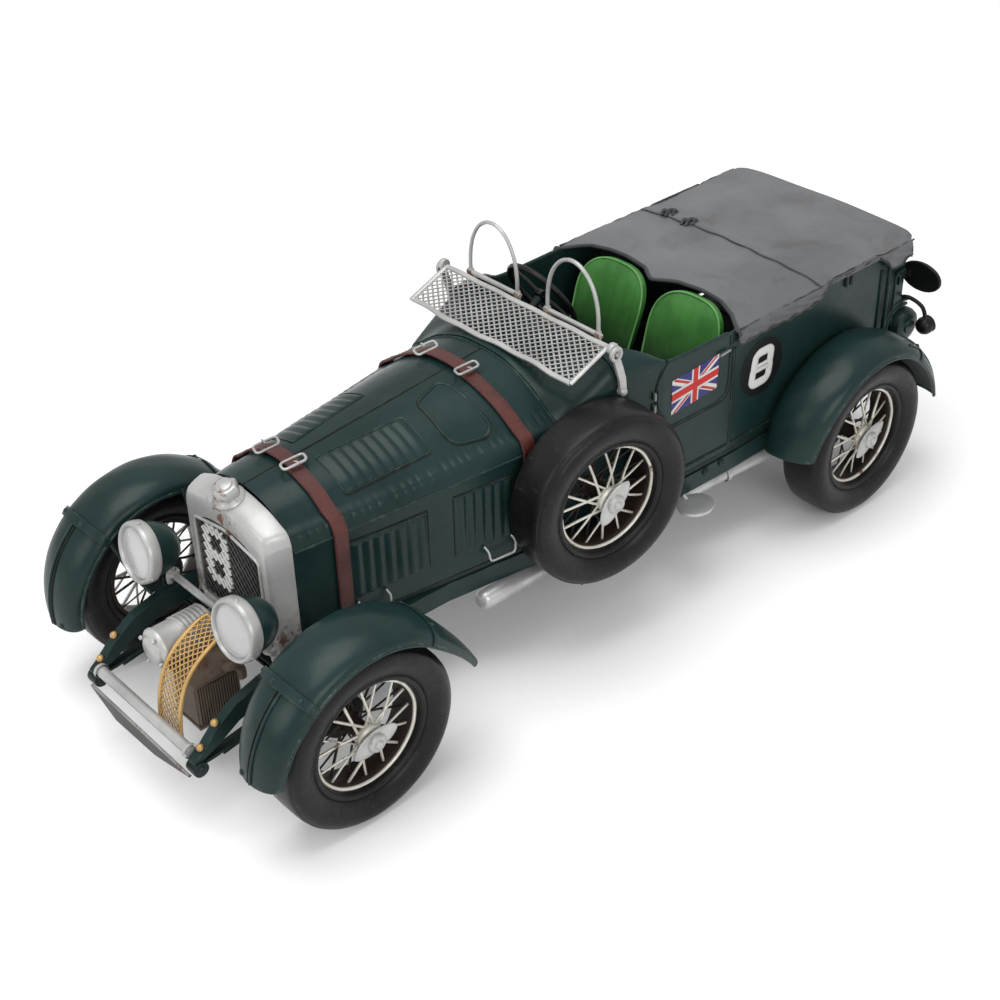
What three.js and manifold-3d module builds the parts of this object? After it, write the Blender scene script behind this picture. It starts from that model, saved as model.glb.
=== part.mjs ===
// Open racing tourer of the late 1920s, a hand-made tin display model at 1:12.
//
// Frame: millimetres, +Z up. The car faces -X and its left side is -Y.
// Origin: on the ground, under the middle of the overall length and width.
// Inside the car, x is counted from the middle of the wheelbase ("station"),
// and the finished group is moved by ORIGIN_SHIFT along X.

import * as THREE from 'three';
import { mergeVertices } from 'three/addons/utils/BufferGeometryUtils.js';
import Module from 'manifold-3d';

const wasm = await Module();
wasm.setup();

// ---------------------------------------------------------------- dimensions

const WHEELBASE = 275;
const AXLE_X = WHEELBASE / 2;
const FRONT_END_X = -190;
const REAR_END_X = 197;
const ORIGIN_SHIFT = -(FRONT_END_X + REAR_END_X) / 2;

const GAP = 0.3;
const TIN = 1.2;

// wheels
const TYRE_RADIUS = 36.6;
const TYRE_HALF_WIDTH = 10.5;
const TRACK_HALF = 66;
const RIM_RADIUS = 22.3;
const RIM_INNER_RADIUS = 20.4;
const WHEEL_SEGMENTS = 24;
const SPOKES = 12;
const KINGPIN_Y = 57;

// spare wheel, leaning along the tapering flank
const SPARE_X = -10.5;
const SPARE_Y = -57.4;
const SPARE_Z = 71.5;
const SPARE_YAW = THREE.MathUtils.degToRad(-7);

// chassis
const RAIL_TOP = 47;
const RAIL_BOTTOM = 39;
const RAIL_THICKNESS = 4;
const DUMB_IRON_OUTER_Y = 35;
const SPRING_Y = 33;

// body
const FLOOR_TOP = 49.3;
const BODY_BOTTOM = 50;
const SILL_TOP = 106;
const SIDE_THICKNESS = 1.6;
const RADIATOR_FRONT_X = -141;
const RADIATOR_BACK_X = -131.5;
const BONNET_FRONT_X = -131.2;
const SCUTTLE_SEAM_X = -17.5;
const COCKPIT_X = 8;
const BODY_BACK_X = 187;

// mesh screen
const SCREEN_PIVOT_X = 5;
const SCREEN_PIVOT_Z = 124;
const SCREEN_LENGTH = 22.2;
const SCREEN_HALF_WIDTH = 47;
const SCREEN_DROP = THREE.MathUtils.degToRad(22.2);

// ----------------------------------------------------------------- materials

function finish(color, roughness, metalness) {
  return () => new THREE.MeshStandardMaterial({ color, roughness, metalness });
}

const greenPaint = finish(0x1f3b38, 0.35, 0.1);
const darkPaint = finish(0x1b2726, 0.5, 0.1);
const silverPaint = finish(0xc4c3bf, 0.35, 0.6);
const wheelPaint = finish(0xd5d0bd, 0.45, 0.3);
const brassPaint = finish(0xb8924a, 0.4, 0.7);
const brownMetal = finish(0x6d5c4c, 0.6, 0.4);
const rubber = finish(0x232124, 0.55, 0.0);
const greyCanvas = finish(0x83878b, 0.8, 0.0);
const greenLeather = finish(0x3c7f37, 0.6, 0.0);
const strapLeather = finish(0x6d342c, 0.6, 0.0);
const blackPaint = finish(0x151616, 0.4, 0.1);

// ------------------------------------------------------------ shape functions

function weld(geometry) {
  const bare = geometry.clone();
  bare.deleteAttribute('normal');
  bare.deleteAttribute('uv');
  return mergeVertices(bare, 1e-4);
}

function toSolid(geometry) {
  const welded = weld(geometry);
  const vertProperties = new Float32Array(welded.attributes.position.array);
  const triVerts = new Uint32Array(welded.index.array);
  return new wasm.Manifold(new wasm.Mesh({ numProp: 3, vertProperties, triVerts }));
}

function toGeometry(solid) {
  const mesh = solid.getMesh();
  const geometry = new THREE.BufferGeometry();
  geometry.setAttribute('position', new THREE.BufferAttribute(mesh.vertProperties, 3));
  geometry.setIndex(new THREE.BufferAttribute(mesh.triVerts, 1));
  geometry.computeVertexNormals();
  return geometry;
}

function join(...geometries) {
  const solids = geometries.map(toSolid);
  return toGeometry(solids.reduce((all, one) => all.add(one)));
}

function cut(base, ...tools) {
  return toGeometry(tools.map(toSolid).reduce((rest, tool) => rest.subtract(tool), toSolid(base)));
}

function common(one, other) {
  return toGeometry(toSolid(one).intersect(toSolid(other)));
}

function box(x0, x1, y0, y1, z0, z1) {
  const geometry = new THREE.BoxGeometry(x1 - x0, y1 - y0, z1 - z0);
  return geometry.translate((x0 + x1) / 2, (y0 + y1) / 2, (z0 + z1) / 2);
}

function shapeOf(outline) {
  return new THREE.Shape(outline.map(([u, v]) => new THREE.Vector2(u, v)));
}

function extruded(outline, depth) {
  return new THREE.ExtrudeGeometry(shapeOf(outline), { depth, bevelEnabled: false });
}

// Plate with its outline in (x, z), between two values of y.
function sidePlate(outline, y0, y1) {
  return extruded(outline, y1 - y0).rotateX(Math.PI / 2).translate(0, y1, 0);
}

// Plate with its outline in (y, z), between two values of x.
function crossPlate(outline, x0, x1) {
  const turn = new THREE.Matrix4().makeBasis(
    new THREE.Vector3(0, 1, 0),
    new THREE.Vector3(0, 0, 1),
    new THREE.Vector3(1, 0, 0),
  );
  return extruded(outline, x1 - x0).applyMatrix4(turn).translate(x0, 0, 0);
}

// Plate with its outline in (x, y), between two values of z.
function flatPlate(outline, z0, z1) {
  return extruded(outline, z1 - z0).translate(0, 0, z0);
}

function rod(from, to, radius, sides = 8) {
  const start = new THREE.Vector3(...from);
  const end = new THREE.Vector3(...to);
  const length = start.distanceTo(end);
  const geometry = new THREE.CylinderGeometry(radius, radius, length, sides);
  const direction = end.clone().sub(start).normalize();
  const turn = new THREE.Quaternion().setFromUnitVectors(new THREE.Vector3(0, 1, 0), direction);
  const middle = start.add(end).multiplyScalar(0.5);
  return geometry.applyQuaternion(turn).translate(middle.x, middle.y, middle.z);
}

function bentTube(points, radius, steps, sides = 8) {
  const path = new THREE.CatmullRomCurve3(points.map((p) => new THREE.Vector3(...p)));
  const section = [];
  for (let k = 0; k < sides; k += 1) {
    const angle = (k / sides) * 2 * Math.PI;
    section.push([radius * Math.cos(angle), radius * Math.sin(angle)]);
  }
  return new THREE.ExtrudeGeometry(shapeOf(section), { extrudePath: path, steps, bevelEnabled: false });
}

// Lathe about the Y axis; each profile point is [radius, y].
function turned(profile, segments) {
  return new THREE.LatheGeometry(profile.map(([r, y]) => new THREE.Vector2(r, y)), segments);
}

function ellipse(cx, cy, rx, ry, count) {
  const points = [];
  for (let k = 0; k < count; k += 1) {
    const angle = (k / count) * 2 * Math.PI;
    points.push([cx + rx * Math.cos(angle), cy + ry * Math.sin(angle)]);
  }
  return points;
}

function newellNormal(ring) {
  const normal = new THREE.Vector3();
  ring.forEach(([x0, y0, z0], k) => {
    const [x1, y1, z1] = ring[(k + 1) % ring.length];
    normal.x += (y0 - y1) * (z0 + z1);
    normal.y += (z0 - z1) * (x0 + x1);
    normal.z += (x0 - x1) * (y0 + y1);
  });
  return normal;
}

// Triangles of a flat ring, in the ring's own turning direction.
function capTriangles(ring) {
  const normal = newellNormal(ring);
  const size = [Math.abs(normal.x), Math.abs(normal.y), Math.abs(normal.z)];
  const dropped = size.indexOf(Math.max(...size));
  const axes = [[1, 2], [2, 0], [0, 1]][dropped];
  const flat = ring.map((p) => new THREE.Vector2(p[axes[0]], p[axes[1]]));
  const turning = Math.sign(THREE.ShapeUtils.area(flat));
  return THREE.ShapeUtils.triangulateShape(flat, []).map(([a, b, c]) => {
    const own = Math.sign(THREE.ShapeUtils.area([flat[a], flat[b], flat[c]]));
    return own === turning ? [a, b, c] : [a, c, b];
  });
}

function signedVolume(points, triangles) {
  return triangles.reduce((sum, [a, b, c]) => {
    const [p, q, r] = [points[a], points[b], points[c]].map((v) => new THREE.Vector3(...v));
    return sum + p.dot(q.cross(r)) / 6;
  }, 0);
}

// Closed body through a row of rings that all have the same number of points.
function loft(rings) {
  const count = rings[0].length;
  const last = (rings.length - 1) * count;
  const points = rings.flat();
  const triangles = [];
  for (let start = 0; start < last; start += count) {
    for (let k = 0; k < count; k += 1) {
      const a = start + k;
      const b = start + ((k + 1) % count);
      triangles.push([a, b, b + count], [a, b + count, a + count]);
    }
  }
  capTriangles(rings[0]).forEach(([a, b, c]) => triangles.push([a, c, b]));
  capTriangles(rings.at(-1)).forEach(([a, b, c]) => triangles.push([a + last, b + last, c + last]));
  const inside = signedVolume(points, triangles) < 0;
  const index = triangles.flatMap(([a, b, c]) => (inside ? [a, c, b] : [a, b, c]));
  const geometry = new THREE.BufferGeometry();
  geometry.setAttribute('position', new THREE.Float32BufferAttribute(points.flat(), 3));
  geometry.setIndex(index);
  geometry.computeVertexNormals();
  return geometry;
}

// Straight-line reading of a list of [x, value] stations.
function along(stations, x) {
  const next = stations.findIndex(([at]) => at >= x);
  if (next === 0) return stations[0][1];
  if (next < 0) return stations.at(-1)[1];
  const [x0, v0] = stations[next - 1];
  const [x1, v1] = stations[next];
  return v0 + ((v1 - v0) * (x - x0)) / (x1 - x0);
}

function shiftAlongY(geometry, offsetAtX) {
  const position = geometry.attributes.position;
  for (let k = 0; k < position.count; k += 1) {
    position.setY(k, position.getY(k) + offsetAtX(position.getX(k)));
  }
  return geometry;
}

// ---------------------------------------------------------------- assembling

const car = new THREE.Group();
car.position.x = ORIGIN_SHIFT;

function add(name, geometry, material, place = {}) {
  const mesh = new THREE.Mesh(weld(geometry), material());
  mesh.name = name;
  mesh.position.set(...(place.at ?? [0, 0, 0]));
  mesh.rotation.set(...(place.turn ?? [0, 0, 0]));
  car.add(mesh);
}

const SIDES = [['left', -1], ['right', 1]];

// -------------------------------------------------------------------- wheels

// The wheel lies in the XZ plane with its outer face towards +Y.
function tyreGeometry() {
  const shoulder = [
    [RIM_RADIUS + GAP, 6.5],
    [25.5, 9.2],
    [30, TYRE_HALF_WIDTH],
    [34, 9],
    [36.2, 5.6],
  ];
  const inner = shoulder.map(([r, y]) => [r, -y]);
  const profile = [...inner, [TYRE_RADIUS, 0], ...shoulder.toReversed(), inner[0]];
  return turned(profile, WHEEL_SEGMENTS);
}

function spokeGeometry(number) {
  const outer = number % 2 === 0;
  const lead = (number % 4 < 2 ? 1 : -1) * 0.5;
  const angle = (number / SPOKES) * 2 * Math.PI;
  const hubRadius = 3.6;
  const rimRadius = RIM_INNER_RADIUS + 0.5;
  const hubY = outer ? 4.2 : -4.5;
  const from = [hubRadius * Math.cos(angle + lead), hubY, hubRadius * Math.sin(angle + lead)];
  const to = [rimRadius * Math.cos(angle), outer ? 1 : -2, rimRadius * Math.sin(angle)];
  return rod(from, to, 0.5, 4);
}

function wireWheelGeometry() {
  const rim = turned([
    [RIM_INNER_RADIUS, -6],
    [RIM_RADIUS, -6],
    [RIM_RADIUS, 4.2],
    [21.2, 4.8],
    [RIM_INNER_RADIUS, 4],
    [RIM_INNER_RADIUS, -6],
  ], WHEEL_SEGMENTS);
  const hub = turned([
    [0, -7], [4.4, -7], [4.4, 3.4], [5.4, 3.8], [5.4, 7.8], [3.9, 8.8], [3.4, 12.2], [0, 12.8],
  ], 12);
  const spokes = Array.from({ length: SPOKES }, (_, number) => spokeGeometry(number));
  const earOutline = ellipse(0, 0, 9, 3.2, 12);
  const ears = sidePlate(earOutline, 8.8, 10.8).rotateY(0.7);
  return join(rim, hub, ears, ...spokes);
}

const tyre = tyreGeometry();
const wireWheel = wireWheelGeometry();

function addWheel(place, at, yaw) {
  add(`tyre_${place}`, tyre, rubber, { at, turn: [0, 0, yaw] });
  add(`wire_wheel_${place}`, wireWheel, wheelPaint, { at, turn: [0, 0, yaw] });
}

for (const [sideName, side] of SIDES) {
  const yaw = side < 0 ? Math.PI : 0;
  addWheel(`front_${sideName}`, [-AXLE_X, side * TRACK_HALF, TYRE_RADIUS], yaw);
  addWheel(`rear_${sideName}`, [AXLE_X, side * TRACK_HALF, TYRE_RADIUS], yaw);
}
addWheel('spare', [SPARE_X, SPARE_Y, SPARE_Z], Math.PI + SPARE_YAW);

// ------------------------------------------------------------------- chassis

const BODY_HALF_WIDTH = [
  [-131, 27.5],
  [SCUTTLE_SEAM_X, 44],
  [COCKPIT_X, 46.8],
  [32, 50],
  [72, 51],
  [BODY_BACK_X, 50],
];

function bodyHalfWidth(x) {
  return along(BODY_HALF_WIDTH, x);
}

function railOuterY(x) {
  return Math.max(DUMB_IRON_OUTER_Y, bodyHalfWidth(x) + GAP);
}

// Side view of a rail, front to rear: [x, bottom, top].
const RAIL_STATIONS = [
  [-186, 28.9, 29.6], [-182, 29.2, 32.6], [-175, 32.4, 39.6], [-166, 37.6, 45.5], [-152, 41.4, 49.5],
  [-140, 41.4, 50], [-128, RAIL_BOTTOM, RAIL_TOP], [-70, RAIL_BOTTOM, RAIL_TOP],
  [SCUTTLE_SEAM_X, RAIL_BOTTOM, RAIL_TOP], [COCKPIT_X, RAIL_BOTTOM, RAIL_TOP], [32, RAIL_BOTTOM, RAIL_TOP],
  [72, RAIL_BOTTOM, RAIL_TOP], [100, RAIL_BOTTOM, RAIL_TOP], [115, 42.5, RAIL_TOP], [183, 42.5, RAIL_TOP],
];

// Upright strip that follows the flank: stations are [x, bottom, top].
function flankStrip(stations, side, outerAt, thickness) {
  return loft(stations.map(([x, bottom, top]) => {
    const outer = side * outerAt(x);
    const inner = side * (outerAt(x) - thickness);
    return [[x, outer, bottom], [x, outer, top], [x, inner, top], [x, inner, bottom]];
  }));
}

function railGeometry(side) {
  return flankStrip(RAIL_STATIONS, side, railOuterY, RAIL_THICKNESS);
}

function frontSpringGeometry(side) {
  const outline = [
    [-187.2, 27], [-186, 28.4], [-182, 28.4], [-160, 31], [-AXLE_X, 32.3], [-115, 33.2],
    [-99, 34.5], [-97, RAIL_BOTTOM - GAP], [-94, RAIL_BOTTOM - GAP], [-94, 31.5],
    [-115, 29.8], [-AXLE_X, 28.8], [-160, 27.4], [-182, 23.4], [-186, 23.4], [-187.2, 25],
  ];
  return sidePlate(outline, side * SPRING_Y - 2.4, side * SPRING_Y + 2.4);
}

const BRAKE_PLATE_RADIUS = 8.5;

function knuckleGeometry(side) {
  const barrel = rod([0, 0, -7], [0, 0, 7], 1.7, 12);
  const plateFace = [side * -0.6, side * 1.4];
  const backPlate = rod([0, plateFace[0], 0], [0, plateFace[1], 0], BRAKE_PLATE_RADIUS, 16);
  return join(barrel, backPlate);
}

for (const [sideName, side] of SIDES) {
  add(`chassis_rail_${sideName}`, railGeometry(side), greenPaint);
  add(`front_leaf_spring_${sideName}`, frontSpringGeometry(side), darkPaint);
  add(`steering_knuckle_${sideName}`, knuckleGeometry(side), darkPaint, {
    at: [-AXLE_X, side * KINGPIN_Y, TYRE_RADIUS],
  });
}

const axleBeamEnd = KINGPIN_Y - 2.1;
add('front_axle_beam', box(-AXLE_X - 2.5, -AXLE_X + 2.5, -axleBeamEnd, axleBeamEnd, 32.7, 37.5), darkPaint);

function rearAxleGeometry() {
  const bareEnd = 58.7;
  const tube = rod([AXLE_X, -bareEnd, TYRE_RADIUS], [AXLE_X, bareEnd, TYRE_RADIUS], 3.2, 12);
  const differential = turned([[0, -10], [6, -9], [9.5, -4], [9.5, 4], [6, 9], [0, 10]], 16);
  const parts = [tube, differential.translate(AXLE_X, 0, TYRE_RADIUS)];
  for (const [, side] of SIDES) {
    const centre = side * 43;
    const leaf = [
      [92, RAIL_BOTTOM - 1], [97, RAIL_BOTTOM - 1], [104, 35.5], [AXLE_X, 35.5], [168, 37.5],
      [174, 42.2], [178, 42.2], [177, 35], [168, 33], [AXLE_X, 31.5], [104, 32], [94, 34],
    ];
    parts.push(sidePlate(leaf, centre - 2.2, centre + 2.2));
    const plateEnds = [[AXLE_X, side * 56, TYRE_RADIUS], [AXLE_X, side * bareEnd, TYRE_RADIUS]];
    parts.push(rod(...plateEnds, BRAKE_PLATE_RADIUS, 16));
  }
  return join(...parts);
}

add('rear_axle', rearAxleGeometry(), darkPaint);

function floorPanGeometry() {
  const stationsX = [-129, SCUTTLE_SEAM_X, COCKPIT_X, 32, 72, 165];
  const edge = stationsX.map((x) => [x, bodyHalfWidth(x) - 0.4]);
  const mirrored = edge.toReversed().map(([x, y]) => [x, -y]);
  return flatPlate([...edge, ...mirrored].toReversed(), RAIL_TOP + GAP, FLOOR_TOP);
}

add('floor_pan', floorPanGeometry(), darkPaint);
add('front_cross_tube', rod([-184, -30.2, 31], [-184, 30.2, 31], 2.2, 12), silverPaint);

function splashBladeGeometry() {
  const outline = [[28, 28.6], [-37, 27.6], [-14, 22.2], [12, 21.6]];
  return crossPlate(outline.toReversed(), FRONT_END_X, FRONT_END_X + 1.2);
}

add('splash_blade', splashBladeGeometry(), darkPaint);

// ------------------------------------------------------------------ radiator

// Crowned outline in (y, z) with rounded shoulders, from one foot to the other.
function shellOutline(halfWidth, bottom, shoulder, crown) {
  const right = [
    [halfWidth, bottom], [halfWidth, shoulder - 5], [halfWidth - 1, shoulder - 2],
    [halfWidth - 4, shoulder], [halfWidth * 0.5, (shoulder + 2 * crown) / 3],
  ];
  const left = right.toReversed().map(([y, z]) => [-y, z]);
  return [...right, [0, crown], ...left];
}

function radiatorShellGeometry() {
  const bottom = 46.5;
  const front = shellOutline(24.6, bottom, 96, 100);
  const middle = shellOutline(26, bottom, 97.4, 101.6);
  const back = shellOutline(27.6, bottom, 97.6, 103.2);
  const rings = [
    front.map(([y, z]) => [RADIATOR_FRONT_X, y, z]),
    middle.map(([y, z]) => [RADIATOR_FRONT_X + 3, y, z]),
    back.map(([y, z]) => [RADIATOR_BACK_X, y, z]),
  ];
  const opening = crossPlate(grilleOutline(0), RADIATOR_FRONT_X - 1, RADIATOR_BACK_X + 1);
  return cut(loft(rings), opening);
}

function grilleOutline(inset) {
  const half = 20.5 - inset;
  const foot = 50.5 + inset;
  const shoulder = 89 - inset;
  return [[-half, foot], [half, foot], [half, shoulder], [0, 93 - inset], [-half, shoulder]];
}

add('radiator_shell', radiatorShellGeometry(), silverPaint);
add('radiator_grille', crossPlate(grilleOutline(GAP), -138.8, -137.4), blackPaint);

function radiatorCapGeometry() {
  const base = rod([0, 0, 0], [0, 0, 1.8], 5.8, 16);
  const nut = rod([0, 0, 1.6], [0, 0, 6], 4.9, 6);
  return join(base, nut);
}

const capTilt = -0.27;
add('radiator_cap', radiatorCapGeometry(), silverPaint, { at: [-137, 0, 102.6], turn: [0, capTilt, 0] });

// -------------------------------------------------------------------- bonnet

const CROWN_Z = [
  [-131, 104.6],
  [SCUTTLE_SEAM_X, 114],
  [COCKPIT_X, 118],
];

// Half of the bonnet or scuttle section in (y, z), from the crown to the foot.
// "grow" moves the outline outwards.
function hoodSection(x, grow, foot = BODY_BOTTOM) {
  const crown = along(CROWN_Z, x) + grow;
  const half = bodyHalfWidth(x) + grow;
  const drop = along([[-131, 0.33], [SCUTTLE_SEAM_X, 0.33], [COCKPIT_X, 0.1]], x);
  const shoulder = along(CROWN_Z, x) - drop * bodyHalfWidth(x) + grow;
  return [
    [0, crown],
    [half * 0.3, crown - 0.08 * (crown - shoulder)],
    [half * 0.6, crown - 0.42 * (crown - shoulder)],
    [half - 6, shoulder + 0.6],
    [half - 2, shoulder - 2],
    [half, shoulder - 6.5],
    [half, foot],
  ];
}

// Thin sheet between two grown copies of the half section, at each x given.
function hoodSheet(xs, side, innerGrow, outerGrow, ends = {}) {
  const start = ends.start ?? 0;
  return loft(xs.map((x) => {
    const outer = hoodSection(x, outerGrow, ends.foot);
    const inner = hoodSection(x, innerGrow, ends.foot).toReversed();
    const ring = [...outer, ...inner].map(([y, z]) => [x, side * Math.max(y, start), z]);
    return ring;
  }));
}

for (const [sideName, side] of SIDES) {
  const xs = [BONNET_FRONT_X, -75, SCUTTLE_SEAM_X - GAP];
  add(`bonnet_${sideName}`, hoodSheet(xs, side, -TIN, 0, { start: 0.2 }), greenPaint);
}

function strapGeometry(x) {
  const halfStrap = 3.1;
  const arch = [x - halfStrap, x + halfStrap].map((at) => {
    const outer = hoodSection(at, 1.4, 56);
    const inner = hoodSection(at, 0.4, 56);
    const mirror = (half) => half.slice(1).toReversed().map(([y, z]) => [-y, z]);
    const over = [...mirror(outer), ...outer];
    const under = [...mirror(inner), ...inner].toReversed();
    return [...over, ...under].map(([y, z]) => [at, y, z]);
  });
  return loft(arch);
}

add('bonnet_strap_front', strapGeometry(-113), strapLeather);
add('bonnet_strap_rear', strapGeometry(-33), strapLeather);

// ---------------------------------------------------------------------- body

function fullArch(x, grow, foot) {
  const half = hoodSection(x, grow, foot);
  const mirrored = half.slice(1).toReversed().map(([y, z]) => [-y, z]);
  return [...mirrored, ...half];
}

function scuttleGeometry() {
  const rings = [SCUTTLE_SEAM_X + GAP, -5, COCKPIT_X - GAP].map((x) => {
    const ring = [...fullArch(x, 0), ...fullArch(x, -TIN).toReversed()];
    return ring.map(([y, z]) => [x, y, z]);
  });
  return loft(rings);
}

add('scuttle', scuttleGeometry(), greenPaint);

// Instrument board, hanging inside the rear end of the scuttle.
function dashboardGeometry() {
  const x = COCKPIT_X - 3;
  return crossPlate(fullArch(x, -TIN - 1.2, 72).toReversed(), x - 1.6, x);
}

add('dashboard', dashboardGeometry(), brownMetal);

const DOOR_FRONT_X = 33;
const DOOR_REAR_X = 70.6;
const DOOR_BOTTOM = 75.5;
const COWL_TOP = 108;

// Outline of the door in (x, z); "inset" makes it smaller on its three closed sides.
function doorOutline(inset, top) {
  return [
    [DOOR_FRONT_X + inset, top], [28.2 + inset, 99], [28.2 + inset, 88],
    [35.6 + inset, DOOR_BOTTOM + inset], [64 - inset, DOOR_BOTTOM + inset],
    [69.4 - inset, 77.5 + inset], [DOOR_REAR_X - inset, 84], [DOOR_REAR_X - inset, top],
  ];
}

const REAR_PANEL_BOTTOM = 74;

// Side view of the body side, front to rear: [x, bottom, top].
const SIDE_STATIONS = [
  [COCKPIT_X, BODY_BOTTOM, COWL_TOP], [20, BODY_BOTTOM, COWL_TOP + 0.6], [26, BODY_BOTTOM, 108.4],
  [32, BODY_BOTTOM, 107.2], [38, BODY_BOTTOM, SILL_TOP], [72, BODY_BOTTOM, SILL_TOP],
  [168, BODY_BOTTOM, SILL_TOP], [172, REAR_PANEL_BOTTOM - 2, SILL_TOP],
  [BODY_BACK_X, REAR_PANEL_BOTTOM, SILL_TOP],
];

function bodySideGeometry(side) {
  return flankStrip(SIDE_STATIONS, side, bodyHalfWidth, SIDE_THICKNESS);
}

// Rolled cowl corner in [x, then (y, z) of its foot, shoulder and inner edge], front to rear.
const COWL_CORNER = [
  [COCKPIT_X, 46.8, 106.6, 44.8, 112.4, 37.8, 116.8],
  [14, 47.6, 106.6, 45.8, 112.6, 40, 116.2],
  [20, 48.4, 106.6, 47, 111.8, 43, 114.4],
  [26, 49.2, 106.6, 48.5, 110, 46.4, 111.4],
  [31, 49.9, 106.4, 49.5, 107.6, 48.9, 108],
];

function cowlCornerGeometry(side) {
  return loft(COWL_CORNER.map(([x, footY, footZ, shoulderY, shoulderZ, edgeY, edgeZ]) => {
    const outer = [[footY, footZ], [shoulderY, shoulderZ], [edgeY, edgeZ]];
    const inner = [[edgeY - 0.4, edgeZ - 1], [footY - SIDE_THICKNESS, footZ - 0.2]];
    return [...outer, ...inner].map(([y, z]) => [x, side * y, z]);
  }));
}

function cowledSideGeometry(side) {
  return join(bodySideGeometry(side), cowlCornerGeometry(side));
}

const leftSide = cowledSideGeometry(-1);
const DOOR_CUT_TOP = 114;
const doorway = sidePlate(doorOutline(0, DOOR_CUT_TOP), -60, -40);
const doorBlank = sidePlate(doorOutline(0.35, DOOR_CUT_TOP), -60, -40);
add('body_side_left', cut(leftSide, doorway), greenPaint);
add('body_side_right', cowledSideGeometry(1), greenPaint);
add('door_left', common(leftSide, doorBlank), greenPaint);

const rearPanelHalf = bodyHalfWidth(BODY_BACK_X) - SIDE_THICKNESS - GAP;
const rearPanel = box(
  BODY_BACK_X - 1.7, BODY_BACK_X, -rearPanelHalf, rearPanelHalf, REAR_PANEL_BOTTOM, SILL_TOP - 0.5,
);
add('rear_panel', rearPanel, greenPaint);

// Cover stretched over the rear seats: crowned top, side flaps and a rear flap.
function tonneauGeometry() {
  const underside = SILL_TOP + GAP;
  const outer = [[53, 100.5], [53, 106], [50.5, 108.4], [25, 109.6], [0, 110]];
  const inner = [[51.5, underside], [51.5, 100.5]];
  const mirror = (points) => points.map(([y, z]) => [-y, z]);
  const section = [
    ...outer, ...mirror(outer.slice(0, -1)).toReversed(),
    ...mirror(inner).toReversed(), ...inner,
  ];
  const cover = crossPlate(section, 72.5, 190.6);
  const rearFlap = box(189, 190.6, -52.8, 52.8, 98, underside + 0.5);
  const seatBay = box(70, 83.5, -43, 43, 100, 112);
  return cut(join(cover, rearFlap), seatBay);
}

add('tonneau_cover', tonneauGeometry(), greyCanvas);

// --------------------------------------------------------------------- seats

const SEAT_X = 1.5;
const SEAT_Y = 21.6;
// The pair of seats stands a little to the left of the middle.
const SEAT_SHIFT = -1.6;
const SEAT_HALF = 18.6;
const SEAT_SQUARENESS = 0.7;

function seatGeometry() {
  const shoulderZ = 91.6;
  const arc = [];
  for (let k = 0; k <= 8; k += 1) {
    const angle = (k / 8) * Math.PI;
    const across = Math.sign(Math.cos(angle)) * Math.abs(Math.cos(angle)) ** SEAT_SQUARENESS;
    arc.push([SEAT_HALF * across, shoulderZ + 16.4 * Math.sin(angle) ** SEAT_SQUARENESS]);
  }
  const back = crossPlate([[-SEAT_HALF + 2, 62], [SEAT_HALF - 2, 62], ...arc], 60, 63);
  const lean = 0.35;
  back.applyMatrix4(new THREE.Matrix4().makeShear(0, 0, 0, 0, lean, 0)).translate(-20.6, 0, 0);
  const base = box(38, 62, -SEAT_HALF + 2, SEAT_HALF - 2, 60, 68);
  const plinth = box(40, 60, -14, 14, FLOOR_TOP + GAP, 60.5);
  return join(back, base, plinth);
}

for (const [sideName, side] of SIDES) {
  add(`seat_${sideName}`, seatGeometry(), greenLeather, { at: [SEAT_X, side * SEAT_Y + SEAT_SHIFT, 0] });
}

// ------------------------------------------------------------------ steering

const STEERING_X = 35;
const STEERING_Y = 22;
const STEERING_Z = 108.6;
const COLUMN_RAKE = THREE.MathUtils.degToRad(30);
const STEERING_RADIUS = 17;

function steeringWheelGeometry() {
  const ringProfile = ellipse(STEERING_RADIUS, 0, 1.3, 1.3, 5);
  const ring = turned([...ringProfile, ringProfile[0]], 20);
  const hub = rod([0, -1.6, 0], [0, 1.2, 0], 3, 10);
  const bars = [0, 1, 2, 3].map((k) => {
    const angle = Math.PI / 4 + (k * Math.PI) / 2;
    const reach = STEERING_RADIUS;
    return rod([0, 0, 0], [reach * Math.cos(angle), 0, reach * Math.sin(angle)], 0.9, 6);
  });
  return join(ring, hub, ...bars).rotateX(Math.PI / 2).rotateY(Math.PI / 2 - COLUMN_RAKE);
}

add('steering_wheel', steeringWheelGeometry(), blackPaint, { at: [STEERING_X, STEERING_Y, STEERING_Z] });

function onColumn(distance) {
  const x = STEERING_X - distance * Math.cos(COLUMN_RAKE);
  const z = STEERING_Z - distance * Math.sin(COLUMN_RAKE);
  return [x, STEERING_Y, z];
}

add('steering_column', rod(onColumn(1.9), onColumn(33), 1.4, 10), darkPaint);

// ------------------------------------------------------------------- screens

function meshScreenGeometry() {
  const panel = box(-SCREEN_LENGTH, 0, -SCREEN_HALF_WIDTH + 1, SCREEN_HALF_WIDTH - 1, -0.3, 0.3);
  const bars = [
    box(-SCREEN_LENGTH, -SCREEN_LENGTH + 1.8, -SCREEN_HALF_WIDTH + 1, SCREEN_HALF_WIDTH - 1, -0.6, 0.6),
    box(-1.2, 0.8, -SCREEN_HALF_WIDTH - 2, SCREEN_HALF_WIDTH + 2, -0.6, 0.6),
  ];
  for (const [, side] of SIDES) {
    const inner = side * (SCREEN_HALF_WIDTH - 2.6);
    const outer = side * (SCREEN_HALF_WIDTH - 0.8);
    bars.push(box(-SCREEN_LENGTH, 0, Math.min(inner, outer), Math.max(inner, outer), -0.6, 0.6));
    const pivotEnds = [0.4, 2.4].map((past) => [0, side * (SCREEN_HALF_WIDTH + past), 0]);
    bars.push(rod(...pivotEnds, 2.4, 12));
  }
  return join(panel, ...bars).rotateY(-SCREEN_DROP);
}

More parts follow.
